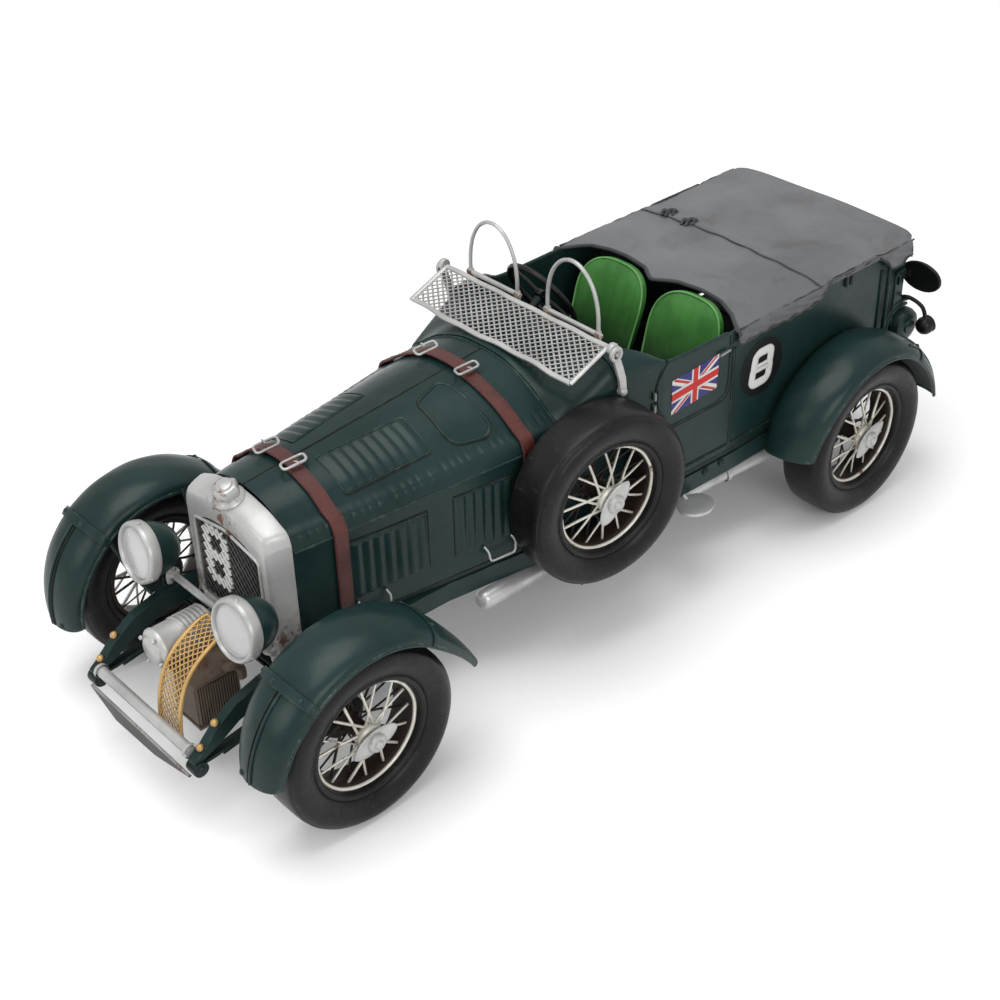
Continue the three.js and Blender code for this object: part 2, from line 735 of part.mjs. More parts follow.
add('mesh_screen', meshScreenGeometry(), silverPaint, { at: [SCREEN_PIVOT_X, 0, SCREEN_PIVOT_Z] });

function screenArmGeometry(side) {
  const near = SCREEN_HALF_WIDTH + 2.4 + GAP;
  const bladeY = [side * near, side * (near + 1.2)].toSorted((a, b) => a - b);
  const blade = [[3.4, 126], [6.8, 126], [11.4, 103], [8.4, 102.4]];
  const footRear = 11.2;
  const footY = [side * (bodyHalfWidth(footRear) + GAP), side * (near + 1.2)].toSorted((a, b) => a - b);
  const foot = box(8.6, footRear, footY[0], footY[1], 103, 105.4);
  return join(sidePlate(blade.toReversed(), bladeY[0], bladeY[1]), foot);
}

for (const [sideName, side] of SIDES) {
  add(`screen_arm_${sideName}`, screenArmGeometry(side), silverPaint);
}

// Small wire-framed wind deflector on a base rail with two feet.
function aeroScreenGeometry() {
  const half = 14.6;
  const foot = 118.6;
  const base = 122.5;
  const top = 149.6;
  const bend = top - half;
  const path = [[0, -half, base]];
  path.push([0, -half, (base + bend) / 2]);
  for (let k = 0; k <= 8; k += 1) {
    const angle = Math.PI - (k / 8) * Math.PI;
    path.push([0, half * Math.cos(angle), bend + half * Math.sin(angle)]);
  }
  path.push([0, half, (base + bend) / 2]);
  path.push([0, half, base]);
  const loop = bentTube(path, 0.8, 20, 6);
  const rail = rod([0, -half - 0.6, base], [0, half + 0.6, base], 1.1, 6);
  const feet = [-half + 2, half - 2].map((y) => rod([0, y, foot], [0, y, base], 1, 6));
  return join(loop, rail, ...feet);
}

for (const [sideName, side] of SIDES) {
  const at = [COCKPIT_X + 1.2, side * 22.5, 0];
  add(`aero_screen_${sideName}`, aeroScreenGeometry(), silverPaint, { at });
}

// --------------------------------------------------------------------- lamps

const LAMP_Y = 30.8;
const LAMP_Z = 73;
const LAMP_BACK_X = -143.6;
const LAMP_BAR_X = -147.6;
const LAMP_BAR_Z = 56;

function headlampGeometry(side) {
  const profile = [
    [0, 0], [4.5, 1.2], [8.4, 4.6], [10.2, 9], [10.6, 13.4], [11.5, 13.8],
    [11.5, 16.8], [10, 17.6], [9.4, 17.2], [5, 18.2], [0, 18.6],
  ];
  const lamp = turned(profile, 16).rotateZ(Math.PI / 2).translate(LAMP_BACK_X, side * LAMP_Y, LAMP_Z);
  const stem = rod([LAMP_BAR_X, side * LAMP_Y, LAMP_BAR_Z + 1.9], [LAMP_BAR_X, side * LAMP_Y, LAMP_Z - 8], 1.4);
  return join(lamp, stem);
}

for (const [sideName, side] of SIDES) {
  add(`headlamp_${sideName}`, headlampGeometry(side), silverPaint);
}

function lampBarGeometry() {
  const half = 34.4;
  const bar = rod([LAMP_BAR_X, -half, LAMP_BAR_Z], [LAMP_BAR_X, half, LAMP_BAR_Z], 1.6, 10);
  const posts = SIDES.map(([, side]) => {
    const y = side * SPRING_Y;
    return box(LAMP_BAR_X - 1.6, LAMP_BAR_X + 1.6, y - 1.2, y + 1.2, 50.1, LAMP_BAR_Z);
  });
  return join(bar, ...posts);
}

add('lamp_bar', lampBarGeometry(), silverPaint);

// -------------------------------------------------------------- supercharger

function superchargerCasingGeometry() {
  const ribs = 5;
  const front = 24;
  const profile = [[0, 0], [6.6, 0], [7.2, 1]];
  for (let k = 0; k < ribs; k += 1) {
    const at = 2 + (k * (front - 6)) / ribs;
    profile.push([7.2, at], [8.2, at + 0.4], [8.2, at + 1.7], [7.2, at + 2.1]);
  }
  profile.push([7.4, front - 3], [7.4, front - 1], [4, front], [0, front + 0.6]);
  const casing = turned(profile, 12).rotateZ(Math.PI / 2).translate(-151, 5.6, 50);
  const driveShaft = rod([-152, 5.6, 48.2], [RADIATOR_FRONT_X - GAP - 0.3, 5.6, 48.2], 2, 8);
  return join(casing, driveShaft);
}

add('supercharger_casing', superchargerCasingGeometry(), silverPaint);

function superchargerBlockGeometry() {
  const block = box(-172.5, -152, -16.6, -3.4, 24, 45);
  const fitting = rod([-160, -16.8, 40], [-160, -19.6, 40], 3.2, 10);
  const flange = rod([-160, -14, 40], [-160, -17.8, 40], 4.4, 10);
  const link = box(-166, -158, -4, -0.6, 36, 40);
  return join(block, fitting, flange, link);
}

add('supercharger_block', superchargerBlockGeometry(), brownMetal);

// Curved stone guard: a wide band that follows a path in the XZ plane.
function stoneGuardGeometry() {
  const path = new THREE.CatmullRomCurve3([
    new THREE.Vector3(-154.5, 0, 60.5),
    new THREE.Vector3(-165, 0, 57.5),
    new THREE.Vector3(-175.6, 0, 46),
    new THREE.Vector3(-178.6, 0, 35),
    new THREE.Vector3(-180, 0, 24),
  ]);
  const half = 0.5;
  const rings = path.getSpacedPoints(12).map((point, k) => {
    const tangent = path.getTangentAt(k / 12);
    const normal = [tangent.z * half, -tangent.x * half];
    const front = [point.x - normal[0], point.z - normal[1]];
    const back = [point.x + normal[0], point.z + normal[1]];
    return [
      [front[0], -18, front[1]], [front[0], -3.2, front[1]],
      [back[0], -3.2, back[1]], [back[0], -18, back[1]],
    ];
  });
  return loft(rings);
}

add('stone_guard', stoneGuardGeometry(), brassPaint);

// ------------------------------------------------------------------- fenders

const FENDER_CENTRE_Y = 65.5;
const FENDER_HALF = 12.8;
const FENDER_EDGE_RADIUS = 39;
const FENDER_CROWN = 5.6;
const SECTION_STEPS = 6;

// The two front skirts end at slightly different heights, in degrees.
const FRONT_SKIRT_START = { left: 5, right: -5 };
// The right front fender sits slightly further inboard.
const FRONT_FENDER_INSET = { left: 0, right: -2.2 };
const FRONT_SEAM = 130;
const FRONT_TAIL = 172;
const REAR_SKIRT_START = 9;
const REAR_SEAM = 132;
const REAR_TAIL = 178;
const REAR_LOBE = 5;

// One ring of the half-round sheet at one angle round the wheel.
// Angle 0 points forwards and 90 degrees points up.
function fenderRing(side, wheelX, angle, radius, half, crown, lean) {
  const surface = (grow) => {
    const points = [];
    for (let k = 0; k <= SECTION_STEPS; k += 1) {
      const turn = (k / SECTION_STEPS) * Math.PI;
      const across = -(half + grow) * Math.cos(turn);
      const inward = (1 - across / half) / 2;
      const reach = radius + grow * 0.6 + (crown + grow) * Math.sin(turn) + lean * inward;
      const y = side * (FENDER_CENTRE_Y + across);
      points.push([wheelX - reach * Math.cos(angle), y, TYRE_RADIUS + reach * Math.sin(angle)]);
    }
    return points;
  };
  return [...surface(1), ...surface(0).toReversed()];
}

// The skirt narrows towards its front end; the tail leaves the wheel past "seam" and narrows again.
function fenderGeometry(side, wheelX, start, seam, end, lobe) {
  const steps = 14;
  const rings = [];
  for (let k = 0; k <= steps; k += 1) {
    const degrees = start + ((end - start) * k) / steps;
    const past = Math.max(0, (degrees - seam) / (end - seam));
    const before = Math.max(0, 1 - (degrees - start) / 55);
    const radius = FENDER_EDGE_RADIUS + 8 * past * past;
    const half = FENDER_HALF - 4 * past * past - 3.4 * before * before;
    const crown = FENDER_CROWN - 3.2 * past;
    const angle = THREE.MathUtils.degToRad(degrees);
    rings.push(fenderRing(side, wheelX, angle, radius, half, crown, lobe * before));
  }
  return loft(rings);
}

for (const [sideName, side] of SIDES) {
  const skirtStart = FRONT_SKIRT_START[sideName];
  const front = fenderGeometry(side, -AXLE_X, skirtStart, FRONT_SEAM, FRONT_TAIL, 0);
  const rear = fenderGeometry(side, AXLE_X, REAR_SKIRT_START, REAR_SEAM, REAR_TAIL, REAR_LOBE);
  const stay = rod([-128, side * 51.2, 75.5], [-128, side * 33.5, RAIL_TOP + 0.6], 1.1, 6);
  const at = [0, FRONT_FENDER_INSET[sideName], 0];
  add(`fender_front_${sideName}`, join(front, stay), greenPaint, { at });
  add(`fender_rear_${sideName}`, rear, greenPaint);
}

// ------------------------------------------------------- exhaust, step, spare

function exhaustGeometry() {
  const silencer = rod([-58, -41, 34.8], [-22, -41, 34.8], 4, 14);
  const pipe = rod([-26, -41, 35.6], [99, -51.2, 36], 2.6, 12);
  return join(silencer, pipe);
}

add('exhaust_pipe', exhaustGeometry(), silverPaint);
add('step_plate', flatPlate(ellipse(46, -57.6, 8.4, 7, 20), 36.6, 38.2), silverPaint);

function spareCradleGeometry() {
  const tray = box(-19, -2, -58, -46.1, 30.4, 34.2);
  const web = box(-14, -7, -46.8, -46.1, 31, 40);
  return join(tray, web);
}

add('spare_cradle', spareCradleGeometry(), blackPaint);

// ---------------------------------------------------------------------- rear

function fuelTankGeometry() {
  const half = 55.4;
  const radius = 8;
  const profile = [
    [0, -half], [5, -half + 0.6], [radius, -half + 3], [radius, half - 3], [5, half - 0.6], [0, half],
  ];
  const tank = turned(profile, 20).translate(REAR_END_X - radius, 0, 63.8);
  const feet = SIDES.map(([, side]) => {
    const ends = [side * 47.6, side * 49.8].toSorted((a, b) => a - b);
    return box(176.8, 184, ...ends, RAIL_TOP + GAP, 64);
  });
  return join(tank, ...feet);
}

add('fuel_tank', fuelTankGeometry(), greenPaint);

function numberPlateGeometry() {
  const plate = crossPlate(ellipse(-55.5, 88.3, 10.5, 6.8, 24), 191, 192.2);
  const bracket = box(BODY_BACK_X + GAP, 191.4, -50, -46, 87, 90);
  return join(plate, bracket);
}

add('number_plate', numberPlateGeometry(), blackPaint);

function tailLampGeometry() {
  const ball = new THREE.SphereGeometry(4, 12, 8).translate(REAR_END_X - 4, -60, 65);
  const stalk = bentTube([[187.9, -46, 76], [189.5, -52, 77.5], [192, -58, 74], [193, -60, 66]], 0.9, 10, 6);
  return join(ball, stalk);
}

add('tail_lamp', tailLampGeometry(), blackPaint);

export default car;
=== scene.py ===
import math
from itertools import groupby

import bmesh
import bpy
import numpy as np
from mathutils import Matrix, Vector

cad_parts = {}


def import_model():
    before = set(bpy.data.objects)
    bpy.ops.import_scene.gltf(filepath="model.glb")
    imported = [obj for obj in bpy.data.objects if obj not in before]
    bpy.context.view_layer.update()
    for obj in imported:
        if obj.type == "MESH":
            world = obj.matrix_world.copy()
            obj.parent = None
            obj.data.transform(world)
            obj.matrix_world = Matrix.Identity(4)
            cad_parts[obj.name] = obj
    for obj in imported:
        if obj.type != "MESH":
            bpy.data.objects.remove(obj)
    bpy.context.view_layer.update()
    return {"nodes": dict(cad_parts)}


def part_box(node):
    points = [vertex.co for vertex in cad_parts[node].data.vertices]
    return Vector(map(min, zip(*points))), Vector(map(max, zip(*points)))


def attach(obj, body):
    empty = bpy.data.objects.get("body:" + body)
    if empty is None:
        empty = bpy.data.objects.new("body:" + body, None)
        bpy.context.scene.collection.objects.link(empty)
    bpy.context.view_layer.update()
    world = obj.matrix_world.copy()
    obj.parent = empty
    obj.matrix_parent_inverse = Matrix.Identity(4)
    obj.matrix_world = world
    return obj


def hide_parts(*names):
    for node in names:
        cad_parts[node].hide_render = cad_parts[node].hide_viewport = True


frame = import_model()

MM = 0.001


def middle(node):
    low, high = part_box(node)
    return (low + high) / 2


# x of the middle of the wheelbase in the part's frame, in metres.
STATION_ZERO = (middle("tyre_front_left").x + middle("tyre_rear_left").x) / 2
AXLE_X = (middle("tyre_rear_left").x - middle("tyre_front_left").x) / 2 / MM
TYRE_RADIUS = middle("tyre_rear_left").z / MM
CAP_TILT = 0.27
LAMP_BAR_X = -147.6
FRONT_SPRING_Y = 33.0
REAR_SPRING_Y = 43.0
KNUCKLE_Y = 57.0
CROSS_TUBE_X = -184.0
rng = np.random.default_rng(8)
SIDES = (("left", -1), ("right", 1))


def station(x):
    """A part frame x in metres as a station in millimetres."""
    return (x - STATION_ZERO) / MM


# ------------------------------------------------------------------ materials


class Tree:
    """Short names for the shader nodes of one material."""

    def __init__(self, name):
        self.material = bpy.data.materials.new(name)
        self.material.use_nodes = True
        self.nodes = self.material.node_tree.nodes
        self.links = self.material.node_tree.links
        self.shader = self.nodes["Principled BSDF"]
        self.coords = self.nodes.new("ShaderNodeTexCoord").outputs["Object"]

    def put(self, socket, value):
        if isinstance(value, bpy.types.NodeSocket):
            self.links.new(value, socket)
        elif isinstance(value, (tuple, list)) and len(value) == 3 and socket.type == "RGBA":
            socket.default_value = (*value, 1)
        else:
            socket.default_value = value

    def node(self, kind, inputs, **settings):
        """New node with its settings, and its inputs set or linked."""
        node = self.nodes.new("ShaderNode" + kind)
        for name, value in settings.items():
            setattr(node, name, value)
        for key, value in inputs.items():
            self.put(node.inputs[key], value)
        return node

    def noise(self, scale, detail=3.0, rough=0.55, coords=None, distortion=0.0):
        inputs = {"Scale": scale, "Detail": detail, "Roughness": rough, "Distortion": distortion}
        return self.node("TexNoise", {**inputs, "Vector": coords or self.coords}).outputs["Fac"]

    def stretched(self, scale):
        return self.node("Mapping", {"Scale": scale, "Vector": self.coords}).outputs["Vector"]

    def voronoi(self, scale, feature="F1"):
        node = self.node("TexVoronoi", {"Scale": scale, "Vector": self.coords}, feature=feature)
        return node.outputs["Distance"]

    def ramp(self, value, low, high):
        """0 below low, 1 above high (or the reverse if low is above high)."""
        inputs = {"Value": value, "From Min": low, "From Max": high}
        return self.node("MapRange", inputs, interpolation_type="SMOOTHSTEP").outputs["Result"]

    def math(self, operation, a, b=0.0):
        return self.node("Math", {0: a, 1: b}, operation=operation).outputs[0]

    def mix(self, share, a, b):
        """Blend of two colours."""
        return self.node("Mix", {0: share, 6: a, 7: b}, data_type="RGBA").outputs[2]

    def mix_value(self, share, a, b):
        """Blend of two numbers."""
        return self.node("Mix", {0: share, 2: a, 3: b}, data_type="FLOAT").outputs[0]

    def axis(self, which, offset=0.0, gain=1.0):
        """One coordinate of the shaded point, shifted and then scaled."""
        node = self.node("SeparateXYZ", {0: self.coords})
        return self.math("MULTIPLY", self.math("ADD", node.outputs[which], offset), gain)

    def edge(self, radius, strength=1.0):
        """Mask that is bright on sharp outer edges: how far the rounded normal leaves the true one."""
        rounded_normal = self.soft_normal(radius)
        geometry = self.node("NewGeometry", {})
        inputs = {0: rounded_normal, 1: geometry.outputs["Normal"]}
        dot = self.node("VectorMath", inputs, operation="DOT_PRODUCT")
        away = self.math("SUBTRACT", 1.0, dot.outputs["Value"])
        return self.math("MULTIPLY", away, strength)

    def bump(self, height, distance, strength=1.0, normal=None):
        inputs = {"Strength": strength, "Distance": distance, "Height": height}
        if normal is not None:
            inputs["Normal"] = normal
        return self.node("Bump", inputs).outputs["Normal"]

    def soft_normal(self, radius):
        return self.node("Bevel", {"Radius": radius}, samples=3).outputs["Normal"]

    def finish(self, color, roughness, normal=None, metallic=0.0, coat=0.0, coat_roughness=0.2, sheen=0.0,
               specular=0.5):
        inputs = {"Base Color": color, "Roughness": roughness, "Metallic": metallic, "Coat Weight": coat,
                  "Specular IOR Level": specular, "Coat Roughness": coat_roughness, "Sheen Weight": sheen}
        if normal is not None:
            inputs["Normal"] = normal
        for name, value in inputs.items():
            self.put(self.shader.inputs[name], value)
        return self.material


def paint(name, deep, pale, scuff_and_highlight, rough, wear=1.0, coat=0.04, edge_radius=0.0006):
    """Hand-brushed paint: two close tones, fine brush relief, small chips, and lighter sharp edges that are
    partly wear and partly a painted highlight.
    """
    t = Tree(name)
    tone = t.ramp(t.noise(28, 4, 0.6), 0.32, 0.7)
    base = t.mix(tone, deep, pale)
    fine = t.noise(420, 3, 0.6)
    grain = t.mix(t.ramp(fine, 0.35, 0.75), base, pale)
    base = t.mix(0.35, base, grain)
    chips = t.ramp(t.noise(260, 4, 0.65), 0.50, 0.64)
    # Lighter colour along sharp edges: the chip noise marks wear, and the even 0.12 share on every edge is a
    # painted highlight.
    rim = t.math("MINIMUM", t.edge(edge_radius, 9.0 * wear), 1.0)
    worn = t.math("MULTIPLY", rim, t.math("ADD", t.math("MULTIPLY", chips, 0.8), 0.12))
    color = t.mix(worn, base, scuff_and_highlight)
    relief = t.math("ADD", t.math("MULTIPLY", t.noise(90, 3), 1.0), t.math("MULTIPLY", fine, 0.16))
    normal = t.bump(relief, 0.0006, 0.35, t.soft_normal(0.0005))
    roughness = t.mix_value(t.noise(60, 3), rough - 0.07, rough + 0.13)
    return t.finish(color, roughness, normal, coat=coat, coat_roughness=0.22, specular=0.20)


def metal_paint(name, base_color, shade, rust, rough=0.34, metallic=0.35, rust_level=0.62, wear=1.0,
                more=None):
    """Silver or cream paint with rust that blooms from edges and in patches."""
    t = Tree(name)
    tone = t.ramp(t.noise(45, 4, 0.6), 0.3, 0.72)
    base = t.mix(tone, base_color, shade)
    patch = t.ramp(t.noise(75, 5, 0.7, distortion=0.4), rust_level, rust_level + 0.12)
    near_edge = t.math("MINIMUM", t.edge(0.0009, 5.0 * wear), 1.0)
    speck = t.ramp(t.noise(420, 4, 0.7), 0.56, 0.68)
    spread = t.math("MULTIPLY", near_edge, speck)
    amount = t.math("MINIMUM", t.math("ADD", patch, t.math("MULTIPLY", spread, 0.75)), 1.0)
    if more is not None:
        amount = t.math("MAXIMUM", amount, more(t))
    rusty = t.mix(t.noise(300, 3), rust, (rust[0] * 0.35, rust[1] * 0.3, rust[2] * 0.3))
    color = t.mix(amount, base, rusty)
    relief = t.math("ADD", t.noise(120, 3), t.math("MULTIPLY", amount, 0.5))
    normal = t.bump(relief, 0.0005, 0.35, t.soft_normal(0.0004))
    roughness = t.mix_value(amount, t.mix_value(t.noise(90), rough - 0.06, rough + 0.12), 0.85)
    shine = t.mix_value(amount, metallic, 0.0)
    return t.finish(color, roughness, normal, metallic=shine, coat=0.1, coat_roughness=0.25)


def radiator_rust(t):
    """Rust round the cap's foot and low on the shell."""
    cap_x = t.axis(0, 0.137 - STATION_ZERO)
    cap_y = t.axis(1)
    away = t.math("SQRT", t.math("ADD", t.math("MULTIPLY", cap_x, cap_x), t.math("MULTIPLY", cap_y, cap_y)))
    ring = t.ramp(away, 0.0115, 0.0070)
    foot = t.ramp(t.axis(2), 0.067, 0.050)
    blotch = t.ramp(t.noise(170, 5, 0.7), 0.50, 0.62)
    return t.math("MULTIPLY", t.math("MAXIMUM", ring, foot), blotch)


def rubber_look(name):
    """Material of the tyres."""
    t = Tree(name)
    dusty = t.ramp(t.noise(40, 4, 0.6), 0.4, 0.75)
    base = t.mix(dusty, (0.0036, 0.0033, 0.0036), (0.0100, 0.0086, 0.0083))
    scratch = t.ramp(t.noise(1.0, 5, 0.7, t.stretched((500, 60, 500))), 0.58, 0.66)
    color = t.mix(t.math("MULTIPLY", scratch, 0.3), base, (0.05, 0.047, 0.045))
    relief = t.math("ADD", t.noise(160, 3), t.math("MULTIPLY", t.noise(900, 2), 0.25))
    normal = t.bump(relief, 0.0006, 0.4)
    roughness = t.mix_value(t.noise(70, 3), 0.30, 0.48)
    return t.finish(color, roughness, normal, coat=0.02, coat_roughness=0.25, specular=0.22)


def leather_look(name, deep, pale, grain=900, rough=0.5, low=None):
    """Material with a fine grain, for the seats, their piping and the straps; when low is given, the colour
    darkens towards it lower down as painted shade.
    """
    t = Tree(name)
    tone = t.ramp(t.noise(70, 4, 0.6), 0.3, 0.72)
    base = t.mix(tone, deep, pale)
    cells = t.ramp(t.voronoi(grain, "DISTANCE_TO_EDGE"), 0.0, 0.12)
    crease = t.ramp(t.noise(120, 5, 0.7, distortion=1.0), 0.50, 0.53)
    color = t.mix(t.math("MULTIPLY", t.math("SUBTRACT", 1.0, cells), 0.25), base, deep)
    rim = t.math("MINIMUM", t.edge(0.0004, 6.0), 1.0)
    color = t.mix(t.math("MULTIPLY", rim, 0.5), color, pale)
    # Painted shade: below about 106 mm the colour turns to the low colour, and it is fully that colour under
    # 74 mm.
    if low is not None:
        height = t.math("ADD", t.axis(2), t.math("MULTIPLY", t.noise(60, 3), 0.008))
        color = t.mix(t.ramp(height, 0.106, 0.074), color, low)
    relief = t.math("ADD", t.math("MULTIPLY", cells, 0.6), t.math("MULTIPLY", crease, 0.25))
    normal = t.bump(relief, 0.00018, 0.5, t.soft_normal(0.0003))
    roughness = t.mix_value(t.noise(90, 3), rough - 0.1, rough + 0.14)
    return t.finish(color, roughness, normal, coat=0.05, coat_roughness=0.3, specular=0.4)


def canvas_look(name):
    """Grey painted cloth: fine weave, cloudy grime, dark rubbed borders."""
    t = Tree(name)
    cloud = t.ramp(t.noise(22, 5, 0.6), 0.3, 0.75)
    base = t.mix(cloud, (0.080, 0.083, 0.088), (0.122, 0.125, 0.130))
    blotch = t.ramp(t.noise(30, 5, 0.68, distortion=0.8), 0.54, 0.74)
    base = t.mix(t.math("MULTIPLY", blotch, 0.55), base, (0.048, 0.043, 0.038))
    threads_x = t.math("SINE", t.axis(0, 0.0, 7000.0))
    threads_y = t.math("SINE", t.axis(1, 0.0, 7000.0))
    weave = t.math("MULTIPLY", threads_x, threads_y)
    rim = t.math("MINIMUM", t.edge(0.0022, 4.0), 1.0)
    color = t.mix(t.math("MULTIPLY", rim, 0.85), base, (0.035, 0.033, 0.033))
    fleck = t.ramp(t.noise(240, 4, 0.7), 0.62, 0.7)
    color = t.mix(t.math("MULTIPLY", fleck, 0.35), color, (0.06, 0.055, 0.05))
    relief = t.math("ADD", t.noise(55, 4), t.math("MULTIPLY", weave, 0.03))
    normal = t.bump(relief, 0.0011, 0.5)
    roughness = t.mix_value(t.noise(80, 3), 0.5, 0.75)
    return t.finish(color, roughness, normal, sheen=0.1)


GREEN = paint("green_paint", (0.0048, 0.0165, 0.0162), (0.0090, 0.0260, 0.0250), (0.085, 0.125, 0.120), 0.29)
# Dark green paint of the chassis parts; it also serves as painted shade on the rear floor sheet, the fender
# stays and the sill bolts.
DARK = paint("dark_green_paint", (0.0045, 0.0095, 0.0095), (0.009, 0.018, 0.0175), (0.07, 0.09, 0.085),
             0.40, wear=0.6)
# Black paint; the same material also draws black lines and blocks that are painted shade in seams, openings
# and the radiator's hollow.
BLACK = paint("black_paint", (0.004, 0.004, 0.0045), (0.009, 0.0095, 0.010), (0.06, 0.06, 0.06), 0.34,
              wear=0.5)
SILVER = metal_paint("silver_paint", (0.46, 0.46, 0.45), (0.31, 0.31, 0.302), (0.20, 0.085, 0.03),
                     rust_level=0.68)
RADIATOR = metal_paint("radiator_silver", (0.44, 0.44, 0.435), (0.34, 0.34, 0.335), (0.17, 0.075, 0.03),
                       rust_level=0.64,
                       more=radiator_rust)
CREAM = metal_paint("wheel_cream", (0.70, 0.68, 0.62), (0.50, 0.47, 0.40), (0.14, 0.055, 0.025),
                    rust_level=0.58)
# Dark brown paint of the rim's well; on the back layer of spokes the same colour is painted shade.
WELL_BROWN_AND_SHADE = paint("wheel_well_brown", (0.010, 0.0075, 0.0065), (0.028, 0.017, 0.013), (0.16, 0.13, 0.10), 0.45,
             wear=0.4)
STEEL = metal_paint("worn_steel", (0.36, 0.36, 0.35), (0.20, 0.20, 0.19), (0.13, 0.055, 0.02), metallic=0.7,
                    rust_level=0.55)
BRASS = metal_paint("gold_mesh", (0.52, 0.33, 0.115), (0.36, 0.21, 0.07), (0.15, 0.07, 0.02), metallic=0.45,
                    rust_level=0.64)
BROWN = metal_paint("brown_block", (0.120, 0.088, 0.060), (0.070, 0.050, 0.036), (0.11, 0.045, 0.02),
                    rough=0.6, metallic=0.15, rust_level=0.58)
RUBBER = rubber_look("tyre_rubber")
# The seat's last colour, a near-black green, is painted shade on the lower seat backs and on the cushions.
SEAT = leather_look("seat_green", (0.028, 0.140, 0.020), (0.050, 0.200, 0.036), 1300, 0.42,
                    (0.006, 0.016, 0.006))
PIPING = leather_look("seat_piping", (0.07, 0.25, 0.055), (0.15, 0.36, 0.12), grain=1600, rough=0.4)
STRAP = leather_look("strap_leather", (0.042, 0.0085, 0.0065), (0.092, 0.0200, 0.0150), grain=1500,
                     rough=0.45)
CANVAS = canvas_look("grey_canvas")
# Dark grey of the hems, seams, stitches and knots; on the bars under the cover's tucked edge it is painted
# shade.
HEM_AND_SHADE = paint("dark_hem_and_shade", (0.022, 0.023, 0.025), (0.05, 0.052, 0.055), (0.16, 0.16, 0.165), 0.6, wear=0.6,
            coat=0.0)
WHITE = paint("white_marking", (0.60, 0.60, 0.58), (0.50, 0.50, 0.48), (0.25, 0.26, 0.26), 0.45, wear=0.3,
              coat=0.1)
RED = paint("flag_red", (0.50, 0.012, 0.012), (0.42, 0.018, 0.016), (0.5, 0.3, 0.28), 0.42, wear=0.2,
            coat=0.1)
BLUE = paint("flag_blue", (0.022, 0.018, 0.130), (0.034, 0.030, 0.160), (0.3, 0.3, 0.4), 0.42, wear=0.2,
             coat=0.1)
LENS = metal_paint("lens_white", (0.47, 0.47, 0.475), (0.40, 0.40, 0.405), (0.30, 0.26, 0.22), rough=0.22,
                   metallic=0.2, rust_level=0.8, wear=0.3)
STEEL_DARK = metal_paint("mesh_black", (0.095, 0.093, 0.090), (0.040, 0.039, 0.038), (0.09, 0.05, 0.03),
                         rough=0.45,
                         metallic=0.5, rust_level=0.6)
RUSTY = metal_paint("rusty_joint", (0.40, 0.33, 0.24), (0.30, 0.16, 0.07), (0.22, 0.09, 0.03), rough=0.6,
                    metallic=0.2,
                    rust_level=0.45)
STEEL_LIGHT = metal_paint("exhaust_silver", (0.50, 0.50, 0.50), (0.33, 0.33, 0.33), (0.16, 0.075, 0.03),
                          metallic=0.55,
                          rust_level=0.6)

# The CAD material slot that each look stands for, unless a piece states another.
SLOTS = {
    "green_paint": "green_paint", "dark_green_paint": "dark_paint", "black_paint": "black_paint",
    "flag_blue": "black_paint", "mesh_black": "black_paint", "silver_paint": "silver_paint",
    "radiator_silver": "silver_paint", "worn_steel": "silver_paint", "white_marking": "silver_paint",
    "lens_white": "silver_paint", "rusty_joint": "silver_paint", "exhaust_silver": "silver_paint",
    "wheel_cream": "wheel_paint", "wheel_well_brown": "wheel_paint", "gold_mesh": "brass_mesh",
    "brown_block": "brown_block", "tyre_rubber": "tyre_rubber", "seat_green": "seat_leather",
    "seat_piping": "seat_leather", "strap_leather": "strap_leather", "flag_red": "strap_leather",
    "grey_canvas": "grey_canvas", "dark_hem_and_shade": "grey_canvas",
}

# --------------------------------------------------------------- shape makers


def full_turn(count):
    """Evenly spaced angles once round."""
    return np.arange(count) / count * 2 * math.pi


def rim_faces(n, m):
    """Faces round the rim between an n by m grid and a second one right behind it."""
    size = n * m
    border = list(range(m)) + [i * m + m - 1 for i in range(1, n)]
    border += [(n - 1) * m + j for j in range(m - 2, -1, -1)] + [i * m for i in range(n - 2, 0, -1)]
    return [(b, a, a + size, b + size) for a, b in zip(border, border[1:] + border[:1])]


